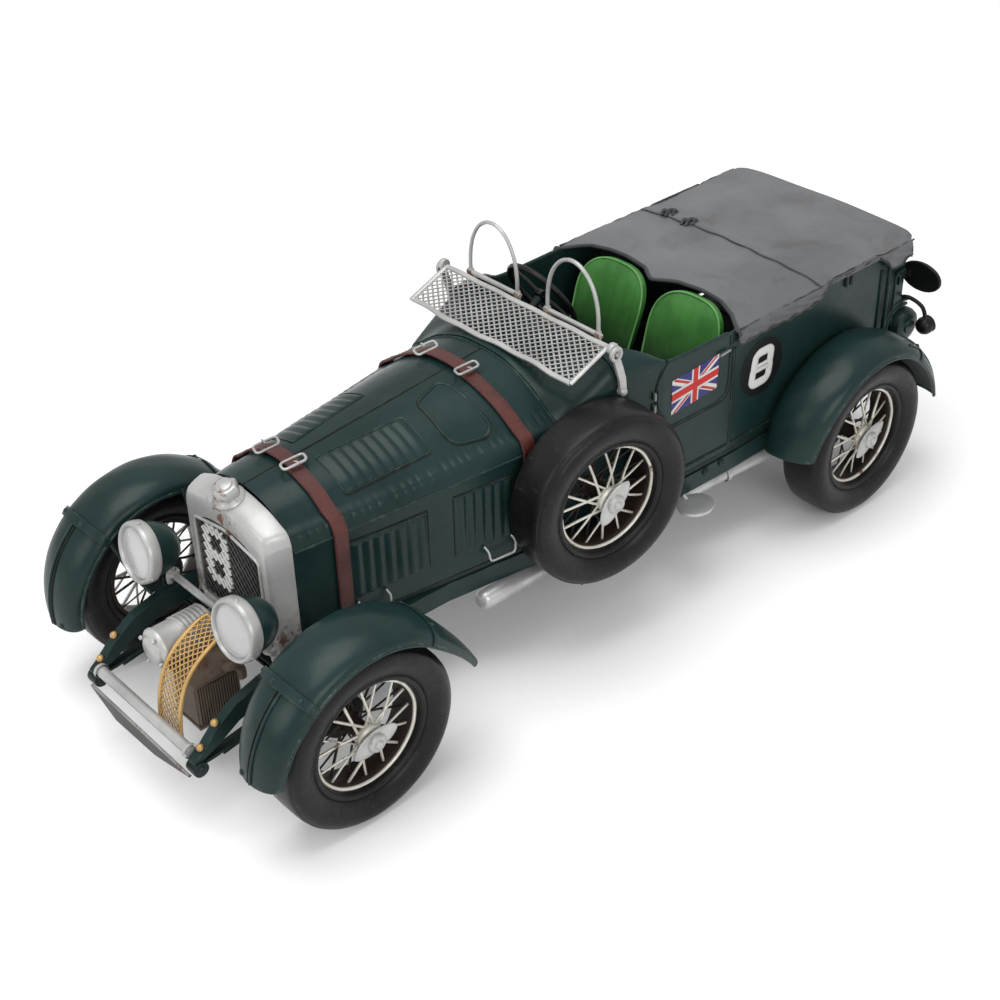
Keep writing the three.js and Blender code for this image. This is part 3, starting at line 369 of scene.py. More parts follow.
class Shape:
    """Points in millimetres and faces, grown one form at a time."""

    def __init__(self):
        self.points = []
        self.faces = []

    def add(self, points, faces):
        base = len(self.points)
        self.points.extend(tuple(float(c) for c in p) for p in points)
        self.faces.extend(tuple(base + k for k in face) for face in faces)
        return self

    def grid(self, rows, loop_u=False, loop_v=False, flip=False):
        rows = np.asarray(rows, float)
        n, m = rows.shape[:2]
        faces = []
        for i in range(n if loop_u else n - 1):
            for j in range(m if loop_v else m - 1):
                a, b = i * m + j, i * m + (j + 1) % m
                c, d = ((i + 1) % n) * m + (j + 1) % m, ((i + 1) % n) * m + j
                faces.append((a, d, c, b) if flip else (a, b, c, d))
        return self.add(rows.reshape(-1, 3), faces)

    def between(self, front, back):
        """Closed form from a front grid and a back grid of the same size."""
        base = len(self.points)
        self.grid(front)
        self.grid(back, flip=True)
        self.faces.extend(tuple(base + k for k in face) for face in rim_faces(len(front), len(front[0])))
        return self

    def close_ends(self, rings, sides):
        """Close both ends of the bar whose rings of points were added last."""
        base = len(self.points) - rings * sides
        self.faces.append(tuple(base + k for k in range(sides)))
        self.faces.append(tuple(base + (rings - 1) * sides + k for k in reversed(range(sides))))

    def sheet(self, rows, thickness):
        """Closed shell: the grid and a copy of it pushed along its normals by thickness."""
        rows = np.asarray(rows, float)
        du = np.gradient(rows, axis=0)
        dv = np.gradient(rows, axis=1)
        normal = np.cross(du, dv)
        normal /= np.maximum(np.linalg.norm(normal, axis=2, keepdims=True), 1e-9)
        back = rows + normal * thickness
        n, m = rows.shape[:2]
        size = n * m
        faces = []
        for i in range(n - 1):
            for j in range(m - 1):
                a, b, c, d = i * m + j, i * m + j + 1, (i + 1) * m + j + 1, (i + 1) * m + j
                faces.append((a, b, c, d))
                faces.append((a + size, d + size, c + size, b + size))
        faces += rim_faces(n, m)
        return self.add(np.concatenate([rows.reshape(-1, 3), back.reshape(-1, 3)]), faces)

    def tube(self, path, radius, sides=8, loop=False, flat=1.0, up=None):
        """Round (or flattened) bar along a path. radius may be one number or one for each point."""
        path = np.asarray(path, float)
        count = len(path)
        if loop:
            tangent = np.roll(path, -1, axis=0) - np.roll(path, 1, axis=0)
        else:
            tangent = np.gradient(path, axis=0)
        tangent /= np.maximum(np.linalg.norm(tangent, axis=1, keepdims=True), 1e-9)
        side = np.array(up if up is not None else (0.0, 0.0, 1.0), float)
        if abs(side @ tangent[0]) > 0.95:
            side = np.array((1.0, 0.0, 0.0)) if abs(tangent[0][0]) < 0.9 else np.array((0.0, 1.0, 0.0))
        radii = np.full(count, radius) if np.isscalar(radius) else np.asarray(radius, float)
        rows = []
        for k in range(count):
            side = side - (side @ tangent[k]) * tangent[k]
            side /= max(np.linalg.norm(side), 1e-9)
            other = np.cross(tangent[k], side)
            angles = full_turn(sides)
            ring = path[k] + radii[k] * (np.outer(np.cos(angles),
                                                  other) + flat * np.outer(np.sin(angles), side))
            rows.append(ring)
        self.grid(rows, loop_u=loop, loop_v=True, flip=True)
        if not loop:
            self.close_ends(count, sides)
        return self

    def lathe(self, profile, centre, axis=(0, 1, 0), segments=48):
        """Turned form: profile is [(radius, height)], height along axis from centre."""
        axis = Vector(axis).normalized()
        turn = Vector((0, 0, 1)).rotation_difference(axis).to_matrix()
        rows = []
        for radius, height in profile:
            ring = []
            for k in range(segments):
                angle = k / segments * 2 * math.pi
                local = Vector((radius * math.cos(angle), radius * math.sin(angle), height))
                ring.append(tuple(turn @ local + Vector(centre)))
            rows.append(ring)
        return self.grid(rows, loop_v=True, flip=True)

    def block(self, low, high):
        x0, y0, z0 = low
        x1, y1, z1 = high
        points = [(x, y, z) for x in (x0, x1) for y in (y0, y1) for z in (z0, z1)]
        faces = [(0, 1, 3, 2), (4, 6, 7, 5), (0, 4, 5, 1), (2, 3, 7, 6), (0, 2, 6, 4), (1, 5, 7, 3)]
        return self.add(points, faces)

    def dome(self, centre, axis, radius, height, segments=12):
        """Rivet head: a low dome standing on a surface."""
        steps = [(math.cos(a), math.sin(a)) for a in np.linspace(0, math.pi / 2, 5)]
        profile = [(radius, -0.3)] + [(max(radius * c, 1e-4), height * s) for c, s in steps]
        return self.lathe(profile, centre, axis, segments)

    def prism(self, outline, place_front, place_back):
        """Flat plate: outline points mapped to its front and its back."""
        count = len(outline)
        front = [place_front(p) for p in outline]
        back = [place_back(p) for p in outline]
        faces = [tuple(range(count)), tuple(reversed(range(count, 2 * count)))]
        for k in range(count):
            j = (k + 1) % count
            faces.append((j, k, k + count, j + count))
        return self.add(front + back, faces)


def world(points):
    return [(x * MM + STATION_ZERO, y * MM, z * MM) for x, y, z in points]


def piece(name, shape, material, body="car", replaces=(), slot=None, bevel=0.0, sharp=38.0):
    """One finished Blender object that rides on a CAD body; its slot is looked up from its material unless
    stated, and is not used further.
    """
    if slot is None:
        # Blender adds a number to a material name that the part already uses.
        slot = SLOTS[material.name.split(".")[0]]
    mesh = bpy.data.meshes.new(name)
    mesh.from_pydata(world(shape.points), [], shape.faces)
    work = bmesh.new()
    work.from_mesh(mesh)
    bmesh.ops.remove_doubles(work, verts=work.verts, dist=2e-6)
    bmesh.ops.recalc_face_normals(work, faces=work.faces)
    limit = math.radians(sharp)
    for face in work.faces:
        face.smooth = True
    for edge in work.edges:
        if len(edge.link_faces) == 2:
            edge.smooth = edge.calc_face_angle(0) < limit
        else:
            edge.smooth = False
    work.to_mesh(mesh)
    work.free()
    thing = bpy.data.objects.new(name, mesh)
    bpy.context.scene.collection.objects.link(thing)
    mesh.materials.append(material)
    if bevel:
        rounding = thing.modifiers.new("rounding", "BEVEL")
        rounding.width = bevel * MM
        rounding.segments = 2
        rounding.limit_method = "ANGLE"
        rounding.angle_limit = math.radians(40)
    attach(thing, body)
    if replaces:
        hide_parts(*replaces)
    return thing


def along(stations, x):
    return np.interp(x, [s[0] for s in stations], [s[1] for s in stations])


def smooth_path(points, count, loop=False):
    """Catmull-Rom curve through points, sampled evenly in parameter."""
    p = np.asarray(points, float)
    n = len(p)
    spans = n if loop else n - 1
    out = []
    for k in range(count):
        t = k / (count if loop else count - 1) * spans
        i = min(int(t), spans - 1)
        f = t - i
        if loop:
            a, b, c, d = p[(i - 1) % n], p[i % n], p[(i + 1) % n], p[(i + 2) % n]
        else:
            a, b, c, d = p[max(i - 1, 0)], p[i], p[i + 1], p[min(i + 2, n - 1)]
        out.append(0.5 * ((2 * b) + (c - a) * f + (2 * a - 5 * b + 4 * c - d) * f * f
                          + (3 * b - a - 3 * c + d) * f ** 3))
    return np.array(out)


def rounded(outline, radius, steps=5, loop=True):
    """Outline with its corners rounded; points may have 2 or 3 coordinates."""
    p = [np.asarray(q, float) for q in outline]
    out = []
    count = len(p)
    for k in range(count):
        if not loop and k in (0, count - 1):
            out.append(p[k])
            continue
        before, here, after = p[k - 1], p[k], p[(k + 1) % count]
        back, on = before - here, after - here
        reach = min(radius, 0.45 * np.linalg.norm(back), 0.45 * np.linalg.norm(on))
        start = here + back / np.linalg.norm(back) * reach
        end = here + on / np.linalg.norm(on) * reach
        for s in range(steps + 1):
            f = s / steps
            out.append((1 - f) ** 2 * start + 2 * f * (1 - f) * here + f * f * end)
    return out


# --------------------------------------------------------------------- camera

CAMERA_POSITION = (-387.96, -428.24, 440.31)
CAMERA_AZIMUTH = -41.40
CAMERA_ELEVATION = 35.14
CAMERA_ROLL = -1.51
LENS_LENGTH = 60.75


def make_camera():
    """Camera of the main view."""
    data = bpy.data.cameras.new("photo_camera")
    data.sensor_width = 36
    data.lens = LENS_LENGTH
    data.clip_start, data.clip_end = 0.01, 20
    camera = bpy.data.objects.new("photo_camera", data)
    bpy.context.scene.collection.objects.link(camera)
    camera.location = world([CAMERA_POSITION])[0]
    azimuth, elevation = math.radians(CAMERA_AZIMUTH), math.radians(CAMERA_ELEVATION)
    back = Vector((math.sin(azimuth) * math.cos(elevation), -math.cos(azimuth) * math.cos(elevation),
                   math.sin(elevation)))
    camera.rotation_mode = "QUATERNION"
    camera.rotation_quaternion = (-back).to_track_quat("-Z", "Y")
    camera.rotation_quaternion = camera.rotation_quaternion @ Matrix.Rotation(
        math.radians(CAMERA_ROLL), 3, "Z").to_quaternion()
    bpy.context.scene.camera = camera
    return camera


make_camera()

# --------------------------------------------------------------------- wheels

SPARE_YAW = math.radians(-7)


def wheel_frame(place):
    """Centre in stations, and the outward axis, of a wheel."""
    centre = middle("tyre_" + place)
    at = Vector((station(centre.x), centre.y / MM, centre.z / MM))
    if place == "spare":
        return at, Vector((math.sin(SPARE_YAW), -math.cos(SPARE_YAW), 0))
    return at, Vector((0, -1 if place.endswith("left") else 1, 0))


def tyre_profile():
    """(radius, half width) round one side: bead step, bulged wall, creased shoulder, smooth tread."""
    side = [(22.5, 6.6), (23.0, 7.5), (23.9, 8.1), (24.7, 8.0), (25.0, 7.7), (25.3, 8.2), (26.4, 9.0),
            (28.0, 9.8),
            (29.8, 10.35), (31.6, 10.5), (33.2, 10.25), (34.4, 9.65), (35.15, 8.95), (35.3, 8.6),
            (35.75, 8.4),
            (36.2, 7.6), (36.5, 6.0), (36.6, 3.0), (36.6, 0)]
    mirrored = [(r, -y) for r, y in reversed(side)]
    return side + mirrored[1:] + [(22.5, 6.6)]


def spoke_ends(k, count, layer):
    """Start on the hub and end on the rim for one spoke; layers cross."""
    lead = math.radians(34) * (1 if k % 2 else -1)
    rim_angle = (k + (0.5 if layer else 0.0)) / count * 2 * math.pi
    hub_angle = rim_angle + lead
    hub_radius, hub_height = ((4.7, 5.6), (4.2, -4.6))[layer]
    rim_height = (2.2, -2.6)[layer]
    start = (hub_radius * math.cos(hub_angle), hub_radius * math.sin(hub_angle), hub_height)
    end = (21.0 * math.cos(rim_angle), 21.0 * math.sin(rim_angle), rim_height)
    return start, end


def wheel_turn(axis, roll=0.0):
    """Matrix that takes the wheel's own frame (axis +Z, +X forwards) to the car."""
    z = Vector(axis).normalized()
    x = Vector((1, 0, 0)) - z * z.x
    x.normalize()
    y = z.cross(x)
    base = Matrix((x, y, z)).transposed()
    return base @ Matrix.Rotation(roll, 3, "Z")


def put(points, turn, at):
    return [tuple(turn @ Vector(p) + at) for p in points]


EAR_ANGLE = {"front_left": 0.22, "spare": 0.91, "rear_left": 0.6, "front_right": 0.9, "rear_right": 0.4}


def make_wheel(place, body):
    """All the pieces of one wheel."""
    at, axis = wheel_frame(place)
    tyre = Shape().lathe(tyre_profile(), at, axis, 96)
    piece("tyre_" + place + "_rubber", tyre, RUBBER, body, ["tyre_" + place], sharp=60)
    turn = wheel_turn(axis)
    well = Shape()
    well.lathe([(20.7, -6.2), (22.3, -6.4), (22.35, -5.6), (21.6, -4.4), (21.4, -2), (21.4, 2), (21.7, 2.9),
                (22.2, 3.8), (22.4, 4.5), (21.8, 4.7), (21.0, 3.9), (20.8, 2.9), (20.6, 1.6), (20.6, -3),
                (20.7, -6.2)],
               at, axis, 72)
    well.lathe([(0.01, -6.6), (4.2, -6.6), (4.8, -5.2), (4.4, -4.4), (3.4, -3.4), (3.4, 8.2), (0.01, 8.4)],
               at, axis, 32)
    piece("rim_" + place, well, WELL_BROWN_AND_SHADE, body, ["wire_wheel_" + place], sharp=50)
    lip = Shape()
    circle = [(21.75 * math.cos(a), 21.75 * math.sin(a), 4.8) for a in full_turn(96)]
    lip.tube(put([(x * (1 + 0.004 * math.sin(7 * k)), y, z) for k, (x, y, z) in enumerate(circle)], turn,
                 at), 0.72, 10,
             loop=True)
    lip.lathe([(3.4, 3.4), (4.7, 4.2), (5.4, 5.4), (5.4, 6.8), (4.6, 7.6), (3.6, 8.0)], at, axis, 32)
    piece("rim_lip_" + place, lip, CREAM, body, sharp=60)
    outer, inner = Shape(), Shape()
    for layer, count, radius, target in ((0, 16, 0.52, outer), (1, 16, 0.46, inner)):
        for k in range(count):
            start, end = spoke_ends(k, count, layer)
            bow = 0.3 * rng.standard_normal(3)
            mid = [(a + b) / 2 + w for a, b, w in zip(start, end, bow)]
            path = put([start, mid, end], turn, at)
            target.tube(smooth_path(path, 5), radius * (1 + 0.12 * rng.standard_normal()), 6)
    piece("spokes_" + place, outer, CREAM, body, sharp=60)
    # The back spokes are the same cream wire as the front layer; their dark brown is painted shade inside the
    # wheel.
    piece("back_spokes_" + place, inner, WELL_BROWN_AND_SHADE, body, sharp=60)
    nut = Shape()
    nut.lathe([(0.01, 12.8), (1.0, 12.7), (1.7, 12.3), (1.9, 11.8), (2.5, 11.9), (3.3, 11.5), (3.8, 10.8),
               (4.0, 9.8),
               (4.2, 8.6), (0.01, 8.2)], at, axis, 32)
    angle = EAR_ANGLE[place]
    ear_turn = turn @ Matrix.Rotation(angle, 3, "Z")
    rows = []
    for s in np.linspace(-1, 1, 25):
        width = 4.5 * (1 - abs(s) ** 2.4) ** 0.7 + 0.25
        thick = 0.75 * (1 - abs(s) ** 3) + 0.3
        lift = 9.2 + 0.7 * abs(s)
        ring = []
        for a in full_turn(14):
            ring.append((10.0 * s, width * math.cos(a), lift + thick * math.sin(a)))
        rows.append(put(ring, ear_turn, at))
    nut.grid(rows, loop_v=True)
    nut.close_ends(25, 14)
    piece("hub_nut_" + place, nut, SILVER, body, slot="wheel_paint", sharp=50)


for wheel_place in ("front_left", "front_right", "rear_left", "rear_right"):
    make_wheel(wheel_place, wheel_place + "_wheel")
make_wheel("spare", "car")

# ------------------------------------------------------------------ body form

BODY_HALF_WIDTH = [(-131, 27.5), (-17.5, 44), (8, 46.8), (32, 50), (72, 51), (187, 50)]
CROWN_Z = [(-131, 104.6), (-17.5, 114), (8, 118)]
SHOULDER_DROP = [(-131, 0.33), (-17.5, 0.33), (8, 0.1)]
BODY_BOTTOM = 50


def flank(x, out=0.0):
    """Distance of the body's side from the middle at x."""
    return along(BODY_HALF_WIDTH, x) + out


def hood_corners(x, grow):
    crown = along(CROWN_Z, x) + grow
    half = flank(x, grow)
    shoulder = along(CROWN_Z, x) - along(SHOULDER_DROP, x) * flank(x) + grow
    return np.array([(0, crown), (half * 0.3, crown - 0.08 * (crown - shoulder)),
                     (half * 0.6, crown - 0.42 * (crown - shoulder)), (half - 6, shoulder + 0.6),
                     (half - 2, shoulder - 2), (half, shoulder - 6.5), (half, BODY_BOTTOM)])


def hood_half(x, grow, steps):
    """Half section (y, z) from the crown to the foot, evenly spaced, with smooth shoulders."""
    corners = hood_corners(x, grow)
    curve = smooth_path(corners[:6], 60)
    curve[:, 0] = np.minimum(curve[:, 0], corners[5][0])
    line = np.linspace(corners[5], corners[6], 40)[1:]
    full = np.concatenate([curve, line])
    length = np.concatenate([[0], np.cumsum(np.linalg.norm(np.diff(full, axis=0), axis=1))])
    at = np.linspace(0, length[-1], steps)
    return np.stack([np.interp(at, length, full[:, 0]), np.interp(at, length, full[:, 1])], 1)


def hood_point(x, y, grow=0.0):
    """Height of the hood surface over a point (x, y) of its top."""
    section = hood_half(x, grow, 200)
    top = section[:120]
    return float(np.interp(abs(y), top[:, 0], top[:, 1]))


def hood_rows(xs, side, grow, steps, start_y=0.0):
    rows = []
    for x in xs:
        section = hood_half(x, grow, steps)
        rows.append([(x, side * max(y, start_y), z) for y, z in section])
    return np.array(rows)


def window(value, low, high, soft):
    """1 between low and high, falling to 0 over soft outside them."""
    rise = np.clip((value - low) / soft + 1, 0, 1)
    fall = np.clip((high - value) / soft + 1, 0, 1)
    f = np.minimum(rise, fall)
    return f * f * (3 - 2 * f)


def louvres(x, low, high, count):
    """Raised slats: a slow rise and a quick fall along x."""
    phase = (x - low) / (high - low) * count
    saw = phase - np.floor(phase)
    return np.where(saw < 0.72, np.sin(saw / 0.72 * math.pi / 2) ** 1.5,
                    np.cos((saw - 0.72) / 0.28 * math.pi / 2))


SIDE_LOUVRES = ((-109.5, -78.0, 59.5, 82.0, 7), (-65.0, -40.5, 59.5, 83.5, 6))
TOP_LOUVRE_X = (-103.0, -68.5)
TOP_LOUVRE_COUNT = 8


def bonnet_relief(x, y, z):
    """How far the bonnet's skin stands out at a point: the side and top louvres."""
    out = 0.0
    for low, high, bottom, top, count in SIDE_LOUVRES:
        inside = window(x, low, high, 0.5) * window(z, bottom, top, 1.2) * (abs(y) > 26)
        out = out + inside * (0.12 + 0.72 * louvres(x, low, high, count))
    near, far = 7.6 + (x + 103) * 0.12, 22.8 + (x + 103) * 0.09
    inside = window(x, *TOP_LOUVRE_X, 0.5) * window(abs(y), near, far, 0.8) * (z > 92)
    out = out + inside * (0.12 + 0.42 * louvres(x, *TOP_LOUVRE_X, TOP_LOUVRE_COUNT))
    return out


def make_bonnet():
    """Panels of the bonnet."""
    xs = np.arange(-131.1, -17.7, 0.55)
    steps = 150
    for name, side in SIDES:
        rows = hood_rows(xs, side, 0.0, steps, 0.25)
        du = np.gradient(rows, axis=0)
        dv = np.gradient(rows, axis=1)
        normal = np.cross(du, dv) * side
        normal /= np.maximum(np.linalg.norm(normal, axis=2, keepdims=True), 1e-9)
        normal[normal[:, :, 2] < -0.2] *= -1
        x, y, z = rows[:, :, 0], rows[:, :, 1], rows[:, :, 2]
        lift = bonnet_relief(x, y, z)
        along_dents = 0.17 * np.exp(-((z - (along(CROWN_Z, x) - 13.0)) / 1.6) ** 2) * (np.abs(y) > 24)
        lift = lift - along_dents * (np.sin(x * 1.45 + np.sin(x * 0.31) * 2.0) > 0.55)
        lift = lift + 0.12 * np.sin(x * 0.11 + y * 0.05) * np.sin(z * 0.09 + x * 0.05)
        rows = rows + normal * lift[:, :, None]
        shell = Shape().between(rows, rows - normal * 0.8)
        piece("bonnet_" + name + "_skin", shell, GREEN, "car", ["bonnet_" + name], sharp=55)


make_bonnet()


def on_hood(x, y, grow):
    return (x, y, hood_point(x, y, grow))


def finer(loop, parts):
    """The same closed outline with every side split into equal parts."""
    out = []
    for a, b in zip(loop, list(loop[1:]) + [loop[0]]):
        out += [np.asarray(a) + (np.asarray(b) - np.asarray(a)) * f
                for f in np.linspace(0, 1, parts + 1)[:-1]]
    return out


def make_bonnet_trim():
    beads = Shape()
    hinge = Shape()
    # Black lines beside the beads and round the louvre panels: painted shade of the seams and bead edges.
    shade_lines = Shape()
    top = [(x, 0.0, along(CROWN_Z, x) + 0.05) for x in np.linspace(-130.8, -18, 40)]
    hinge.tube(top, 0.42, 8, flat=0.7)
    piece("bonnet_hinge", hinge, BLACK, sharp=50)
    for _, side in SIDES:
        line = []
        for x in np.linspace(-130.8, -18, 60):
            corners = hood_corners(x, 0.0)
            line.append((x, side * (corners[5][0] + 0.05), corners[5][1] - 0.6))
        beads.tube(line, 0.55, 8)
    hatch = [(-44.7, -5.0), (-58.3, -8.6), (-59.0, -26.0), (-56.5, -29.4), (-45.2, -32.4), (-40.8, -30.6),
             (-42.4, -8.8)]
    outline = finer(rounded(hatch, 3.5, 5), 7)
    beads.tube([on_hood(x, y, 0.08) for x, y in outline], 0.5, 7, loop=True)
    for low, high, bottom, z_top, _ in SIDE_LOUVRES:
        for _, side in SIDES:
            path = [(x, side * flank(x, 0.1), z_top + 1.4) for x in np.linspace(low - 1, high + 1, 12)]
            beads.tube(path, 0.38, 6)
    for side in (-1, 1):
        x0, x1 = TOP_LOUVRE_X
        corners = [(x0 - 1.2, side * 6.8), (x1 + 1.2, side * 10.9), (x1 + 1.2, side * 27.0),
                   (x0 - 1.2, side * 23.6)]
        path = [on_hood(x, y, 0.05) for x, y in rounded(corners, 1.2, 3)]
        full = []
        for a, b in zip(path, path[1:] + path[:1]):
            for f in np.linspace(0, 1, 6)[:-1]:
                x, y = a[0] + (b[0] - a[0]) * f, a[1] + (b[1] - a[1]) * f
                full.append(on_hood(x, y, 0.05))
        beads.tube(full, 0.32, 6, loop=True)
        outer_line = [on_hood(x, y + side * 0.55, 0.0) for x, y, _ in full if abs(y) > 9]
        shade_lines.tube(outer_line, 0.26, 6)
    piece("bonnet_beads", beads, GREEN, sharp=60)
    centre = np.mean(outline, axis=0)
    path = [on_hood(*(centre + (np.array(q) - centre) * 1.05), 0.12) for q in outline]
    shade_lines.tube(path, 0.3, 6, loop=True)
    for low, high, bottom, z_top, _ in SIDE_LOUVRES:
        for _, side in SIDES:
            for x in (low - 1.0, high + 1.0):
                y = side * flank(x, 0.05)
                shade_lines.tube([(x, y, bottom - 0.6), (x, y, z_top + 1.2)], 0.26, 6)
            ends = [(x, side * flank(x, 0.08), z_top + 2.1) for x in (low - 1, high + 1)]
            shade_lines.tube(ends, 0.26, 6)
    piece("bonnet_grooves", shade_lines, BLACK, sharp=60)


make_bonnet_trim()


def make_handles():
    wires = Shape()
    for x0, x1, z_top in ((-108.0, -96.2, 56.5), (-53.4, -41.2, 57.5)):
        for _, side in SIDES:
            y0 = flank(x0, 0.2)
            y1 = flank(x1, 0.2)
            corners = [(x0, side * y0, z_top), (x0, side * (y0 + 2.6), z_top - 1),
                       (x0 + 0.6, side * (y0 + 3.0), z_top - 5.6),
                       (x1 - 0.6, side * (y1 + 3.0), z_top - 5.4), (x1, side * (y1 + 2.6), z_top - 0.6),
                       (x1, side * y1, z_top + 0.4)]
            wires.tube(rounded(corners, 1.6, 4, loop=False), 0.48, 8)
    piece("bonnet_handles", wires, SILVER, sharp=60)


make_handles()

# --------------------------------------------------------------------- straps


def arch_path(x, grow, foot, steps=90):
    """The hood's line over the car at x, from its left foot to its right foot."""
    section = hood_half(x, grow, steps)
    keep = section[section[:, 1] >= foot]
    return [(x, -y, z) for y, z in keep[::-1]] + [(x, y, z) for y, z in keep[1:]]


def ribbon(shape, path, width, thickness, across=(1, 0, 0)):
    """Flat strap along a path; width lies along across, rounded edges."""
    path = np.asarray(path, float)
    tangent = np.gradient(path, axis=0)
    tangent /= np.maximum(np.linalg.norm(tangent, axis=1, keepdims=True), 1e-9)
    across = np.asarray(across, float)
    widths = np.full(len(path), width) if np.isscalar(width) else np.asarray(width, float)
    rows = []
    for k, point in enumerate(path):
        normal = np.cross(tangent[k], across)
        normal /= np.linalg.norm(normal)
        h, w = thickness / 2, widths[k] / 2
        section = [(-w, 0), (-w + 0.25, h), (0, h * 1.12), (w - 0.25, h), (w, 0), (w - 0.25, -h), (0, -h),
                   (-w + 0.25, -h)]
        rows.append([point + across * u + normal * v for u, v in section])
    shape.grid(rows, loop_v=True)
    shape.close_ends(len(path), 8)


def cut_path(path, low, high):
    """Part of an arch path whose y lies between low and high."""
    return [p for p in path if low <= p[1] <= high]


def make_straps():
    """Leather straps over the bonnet."""
    for name, x, right_y, left_y in (("front", -113.0, 10.5, -6.0), ("rear", -33.0, 15.5, -8.5)):
        leather = Shape()
        sway = 0.5
        over = arch_path(x, 0.75, 56.0)
        over = [(px + sway * math.sin(py * 0.12), py, pz) for px, py, pz in over]
        left = cut_path(over, -60, left_y + 0.6)
        right = cut_path(over, right_y - 0.6, 60)
        ribbon(leather, left, 6.2, 1.05)
        ribbon(leather, right, 6.2, 1.05)
        raised = arch_path(x, 1.35, 56.0, steps=160)
        bridge = cut_path(raised, left_y - 3.2, right_y + 3.4)
        lift = [0.5 * math.sin(k / (len(bridge) - 1) * math.pi) for k in range(len(bridge))]
        taper = [6.0 * min(1.0, 0.45 + 0.2 * k, 0.45 + 0.2 * (len(bridge) - 1 - k))
                 for k in range(len(bridge))]
        bridge = [(p[0] + 0.3, p[1], p[2] + h) for p, h in zip(bridge, lift)]
        ribbon(leather, bridge, taper, 0.95)
        piece("bonnet_strap_" + name + "_leather", leather, STRAP, "car", ["bonnet_strap_" + name], sharp=50)
        wire = Shape()
        for y in (right_y, left_y):
            tip = 1 if y > 0 else -1
            loop = []
            for u, v in rounded([(-5.2, -2.6), (5.2, -2.6), (5.2, 2.6), (-5.2, 2.6)], 1.9, 6):
                z = hood_point(x, y + v, 1.7) + 1.0 + 0.22 * v * tip
                loop.append((x + u + 0.35 * v, y + v, z))
            wire.tube(loop, 0.52, 8, loop=True)
            z = hood_point(x, y, 1.7) + 1.0
            wire.tube([(x, y + 0.6 * tip, z + 0.3), (x + 0.3, y + 1.8 * tip, z + 0.7),
                       (x + 0.4, y + 3.2 * tip, z + 0.5)], 0.34, 7)
        piece("strap_buckles_" + name, wire, SILVER, sharp=60)
        stitch = Shape()
        for half in (left, right):
            for offset in (-2.3, 2.3):
                for k in range(2, len(half) - 2, 2):
                    a, b = np.array(half[k]), np.array(half[k + 1])
                    tangent = (b - a) / max(np.linalg.norm(b - a), 1e-6)
                    normal = np.cross(tangent, (1, 0, 0))
                    if normal[2] <= 0 and normal[1] * a[1] <= 0:
                        normal = -normal
                    lift = normal * 0.56 + np.array((offset, 0, 0))
                    stitch.tube([a + lift, a + (b - a) * 0.6 + lift], 0.1, 5)
        piece("strap_stitches_" + name, stitch, HEM_AND_SHADE, slot="strap_leather", sharp=60)


make_straps()

# -------------------------------------------------------------- scuttle, body


def make_scuttle():
    xs = np.linspace(-17.2, 7.7, 40)
    rows = []
    for x in xs:
        section = hood_half(x, 0.0, 100)
        left = [(x, -y, z) for y, z in section[::-1]]
        right = [(x, y, z) for y, z in section[1:]]
        rows.append(left + right)
    rows = np.array(rows)
    dent = 0.25 * np.sin(rows[:, :, 0] * 0.35 + rows[:, :, 1] * 0.12) * np.sin(rows[:, :, 1] * 0.21)
    rows[:, :, 2] += dent * (rows[:, :, 2] > 95)
    shell = Shape().sheet(rows, 1.0)
    piece("scuttle_skin", shell, GREEN, "car", ["scuttle"], sharp=55)
    seams = Shape()
    for x, radius in ((-17.6, 0.55), (7.9, 0.95)):
        path = arch_path(x, -0.05 if x < 0 else 0.2, 51.0, steps=70)
        seams.tube(path, radius, 8)
    piece("scuttle_seams", seams, GREEN, sharp=60)


make_scuttle()


# The cockpit's edge as (x, distance from the middle, z), front to rear.
RIM_PATH = [(8.2, 37.8, 116.9), (14, 40.0, 116.3), (20, 43.0, 114.5), (26, 46.4, 111.5), (31, 48.8, 108.2),
            (36, 49.4, 106.4),
            (50, 49.7, 106.0), (72, 50.2, 106.0)]
# Rolled corner between the scuttle and the body side: x, then (distance, z) of its foot, shoulder and edge.
COWL_CORNER = [(7.9, 46.8, 106.6, 44.9, 112.4, 37.8, 116.8), (14, 47.6, 106.6, 45.9, 112.6, 40, 116.2),
               (20, 48.4, 106.6, 47.1, 111.8, 43, 114.4), (26, 49.2, 106.6, 48.6, 110, 46.4, 111.4),
               (31.2, 49.9, 106.4, 49.6, 107.6, 48.9, 108)]


def make_cockpit_rim():
    rim = Shape()
    for name, side in SIDES:
        path = [(x, side * y, z + 0.1) for x, y, z in smooth_path(RIM_PATH, 60)]
        if name == "right":
            rim.tube(path, 0.95, 8)
        else:
            front = [p for p in path if p[0] < 32.6]
            rim.tube(front, 0.95, 8)
            door_top = [p for p in path if 33.6 < p[0] < 70.2]
            rim.tube(door_top, 0.95, 8)
    piece("cockpit_rim", rim, GREEN, sharp=60)
    for name, side in SIDES:
        lines = [smooth_path([(row[0], row[k], row[k + 1]) for row in COWL_CORNER], 30) for k in (1, 3, 5)]
        rows = []
        for foot, shoulder, edge in zip(*lines):
            section = smooth_path([foot, shoulder, edge], 14)
            rows.append([(x, side * (y + 0.25), z + 0.2) for x, y, z in section])
        corner = Shape().sheet(rows, -0.9 * side)
        piece("cowl_corner_" + name, corner, GREEN, sharp=60)


make_cockpit_rim()

DOOR = [(33.0, 106.4), (28.2, 99), (28.2, 88), (35.6, 75.5), (64, 75.5), (69.4, 77.5), (70.6, 84),
        (70.6, 106.4)]


